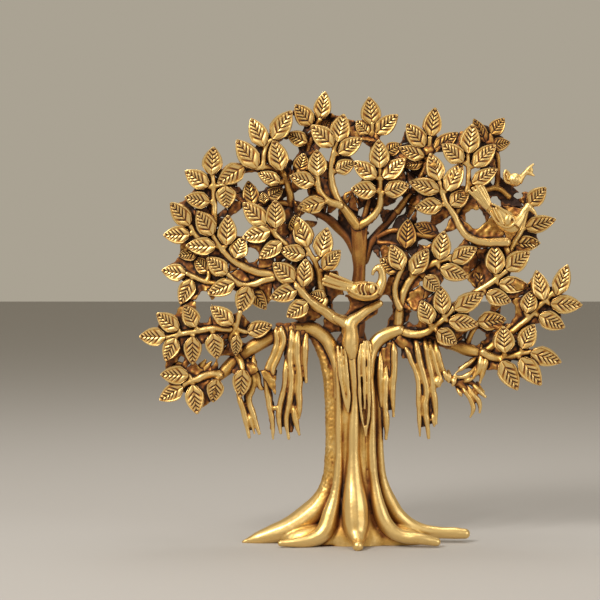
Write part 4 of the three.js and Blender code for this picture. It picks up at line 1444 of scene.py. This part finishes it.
class MakeStage(bpy.types.Operator):
    """Lays the floor and sets the lights and the camera."""

    bl_idname = "tree.make_stage"
    bl_label = "Stage"

    def execute(self, context):
        deselect()
        bpy.ops.mesh.primitive_plane_add(size=14)
        floor = bpy.context.object
        floor.name = "floor"
        floor.data.materials.append(plain_surface("floor", (0.42, 0.4, 0.38), 0.85))
        floor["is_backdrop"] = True
        add_light("key", (-0.9, -1.1, 1.25), 0.55, 24, (1, 0.97, 0.92))
        add_light("fill", (1.2, -1.0, 0.6), 0.9, 6, (0.95, 0.97, 1))
        add_light("top", (0.1, 0.1, 1.4), 0.8, 8, (1, 0.98, 0.95))
        set_world(context)
        add_camera(context)
        context.scene.view_settings.view_transform = "Standard"
        return {"FINISHED"}


def plain_surface(name, colour, roughness):
    material = bpy.data.materials.new(name)
    material.use_nodes = True
    shader = material.node_tree.nodes["Principled BSDF"]
    shader.inputs["Base Color"].default_value = (*colour, 1)
    shader.inputs["Roughness"].default_value = roughness
    return material


def add_light(name, place, size, power, colour):
    """A square soft box that faces the middle of the tree."""
    bpy.ops.object.light_add(type="AREA", location=place)
    light = bpy.context.object
    light.name = name
    light.data.size = size
    light.data.energy = power
    light.data.color = colour
    aim = Vector((0, 0, 0.16)) - Vector(place)
    light.rotation_euler = aim.to_track_quat("-Z", "Y").to_euler()


def set_world(context):
    world = bpy.data.worlds.new("studio")
    world.use_nodes = True
    background = world.node_tree.nodes["Background"]
    background.inputs["Color"].default_value = (0.62, 0.56, 0.45, 1)
    background.inputs["Strength"].default_value = 0.65
    context.scene.world = world


def add_camera(context):
    """A camera that looks straight at the tree, a little left of its trunk."""
    place, target = Vector((-0.04, -1.2, 0.2)), Vector((-0.04, -0.012, 0.1721))
    bpy.ops.object.camera_add(location=place)
    camera = bpy.context.object
    camera.rotation_euler = (target - place).to_track_quat("-Z", "Y").to_euler()
    view_width = 0.42
    camera.data.sensor_width = 36
    camera.data.lens = 36 * (target - place).length / view_width
    context.scene.camera = camera


class TreePanel(bpy.types.Panel):
    """Lists the steps and settings of the brass tree."""

    bl_idname = "VIEW3D_PT_brass_tree"
    bl_label = "Brass Tree"
    bl_space_type = "VIEW_3D"
    bl_region_type = "UI"
    bl_category = "Brass Tree"

    def draw(self, context):
        layout = self.layout
        for step in STEPS:
            layout.operator(step.bl_idname)
        for group in (context.scene.tree_sizes, context.scene.tree_finish):
            box = layout.box()
            for name in group.__annotations__:
                box.prop(group, name)


STEPS = (
    MakeTrunk, MakeLimbs, MakeSprays, MakeBirds, MakeAerialRoots, FinishBrass, MakeStage,
)
CLASSES = (TreeSizes, TreeFinish, *STEPS, TreePanel)


def register():
    for kind in CLASSES:
        bpy.utils.register_class(kind)
    bpy.types.Scene.tree_sizes = bpy.props.PointerProperty(type=TreeSizes)
    bpy.types.Scene.tree_finish = bpy.props.PointerProperty(type=TreeFinish)


def unregister():
    del bpy.types.Scene.tree_finish
    del bpy.types.Scene.tree_sizes
    for kind in reversed(CLASSES):
        bpy.utils.unregister_class(kind)


def main():
    register()
    bpy.ops.tree.make_trunk()
    bpy.ops.tree.make_limbs()
    bpy.ops.tree.make_sprays()
    bpy.ops.tree.make_birds()
    bpy.ops.tree.make_aerial_roots()
    bpy.ops.tree.finish_brass()
    bpy.ops.tree.make_stage()


if __name__ == "__main__":
    main()
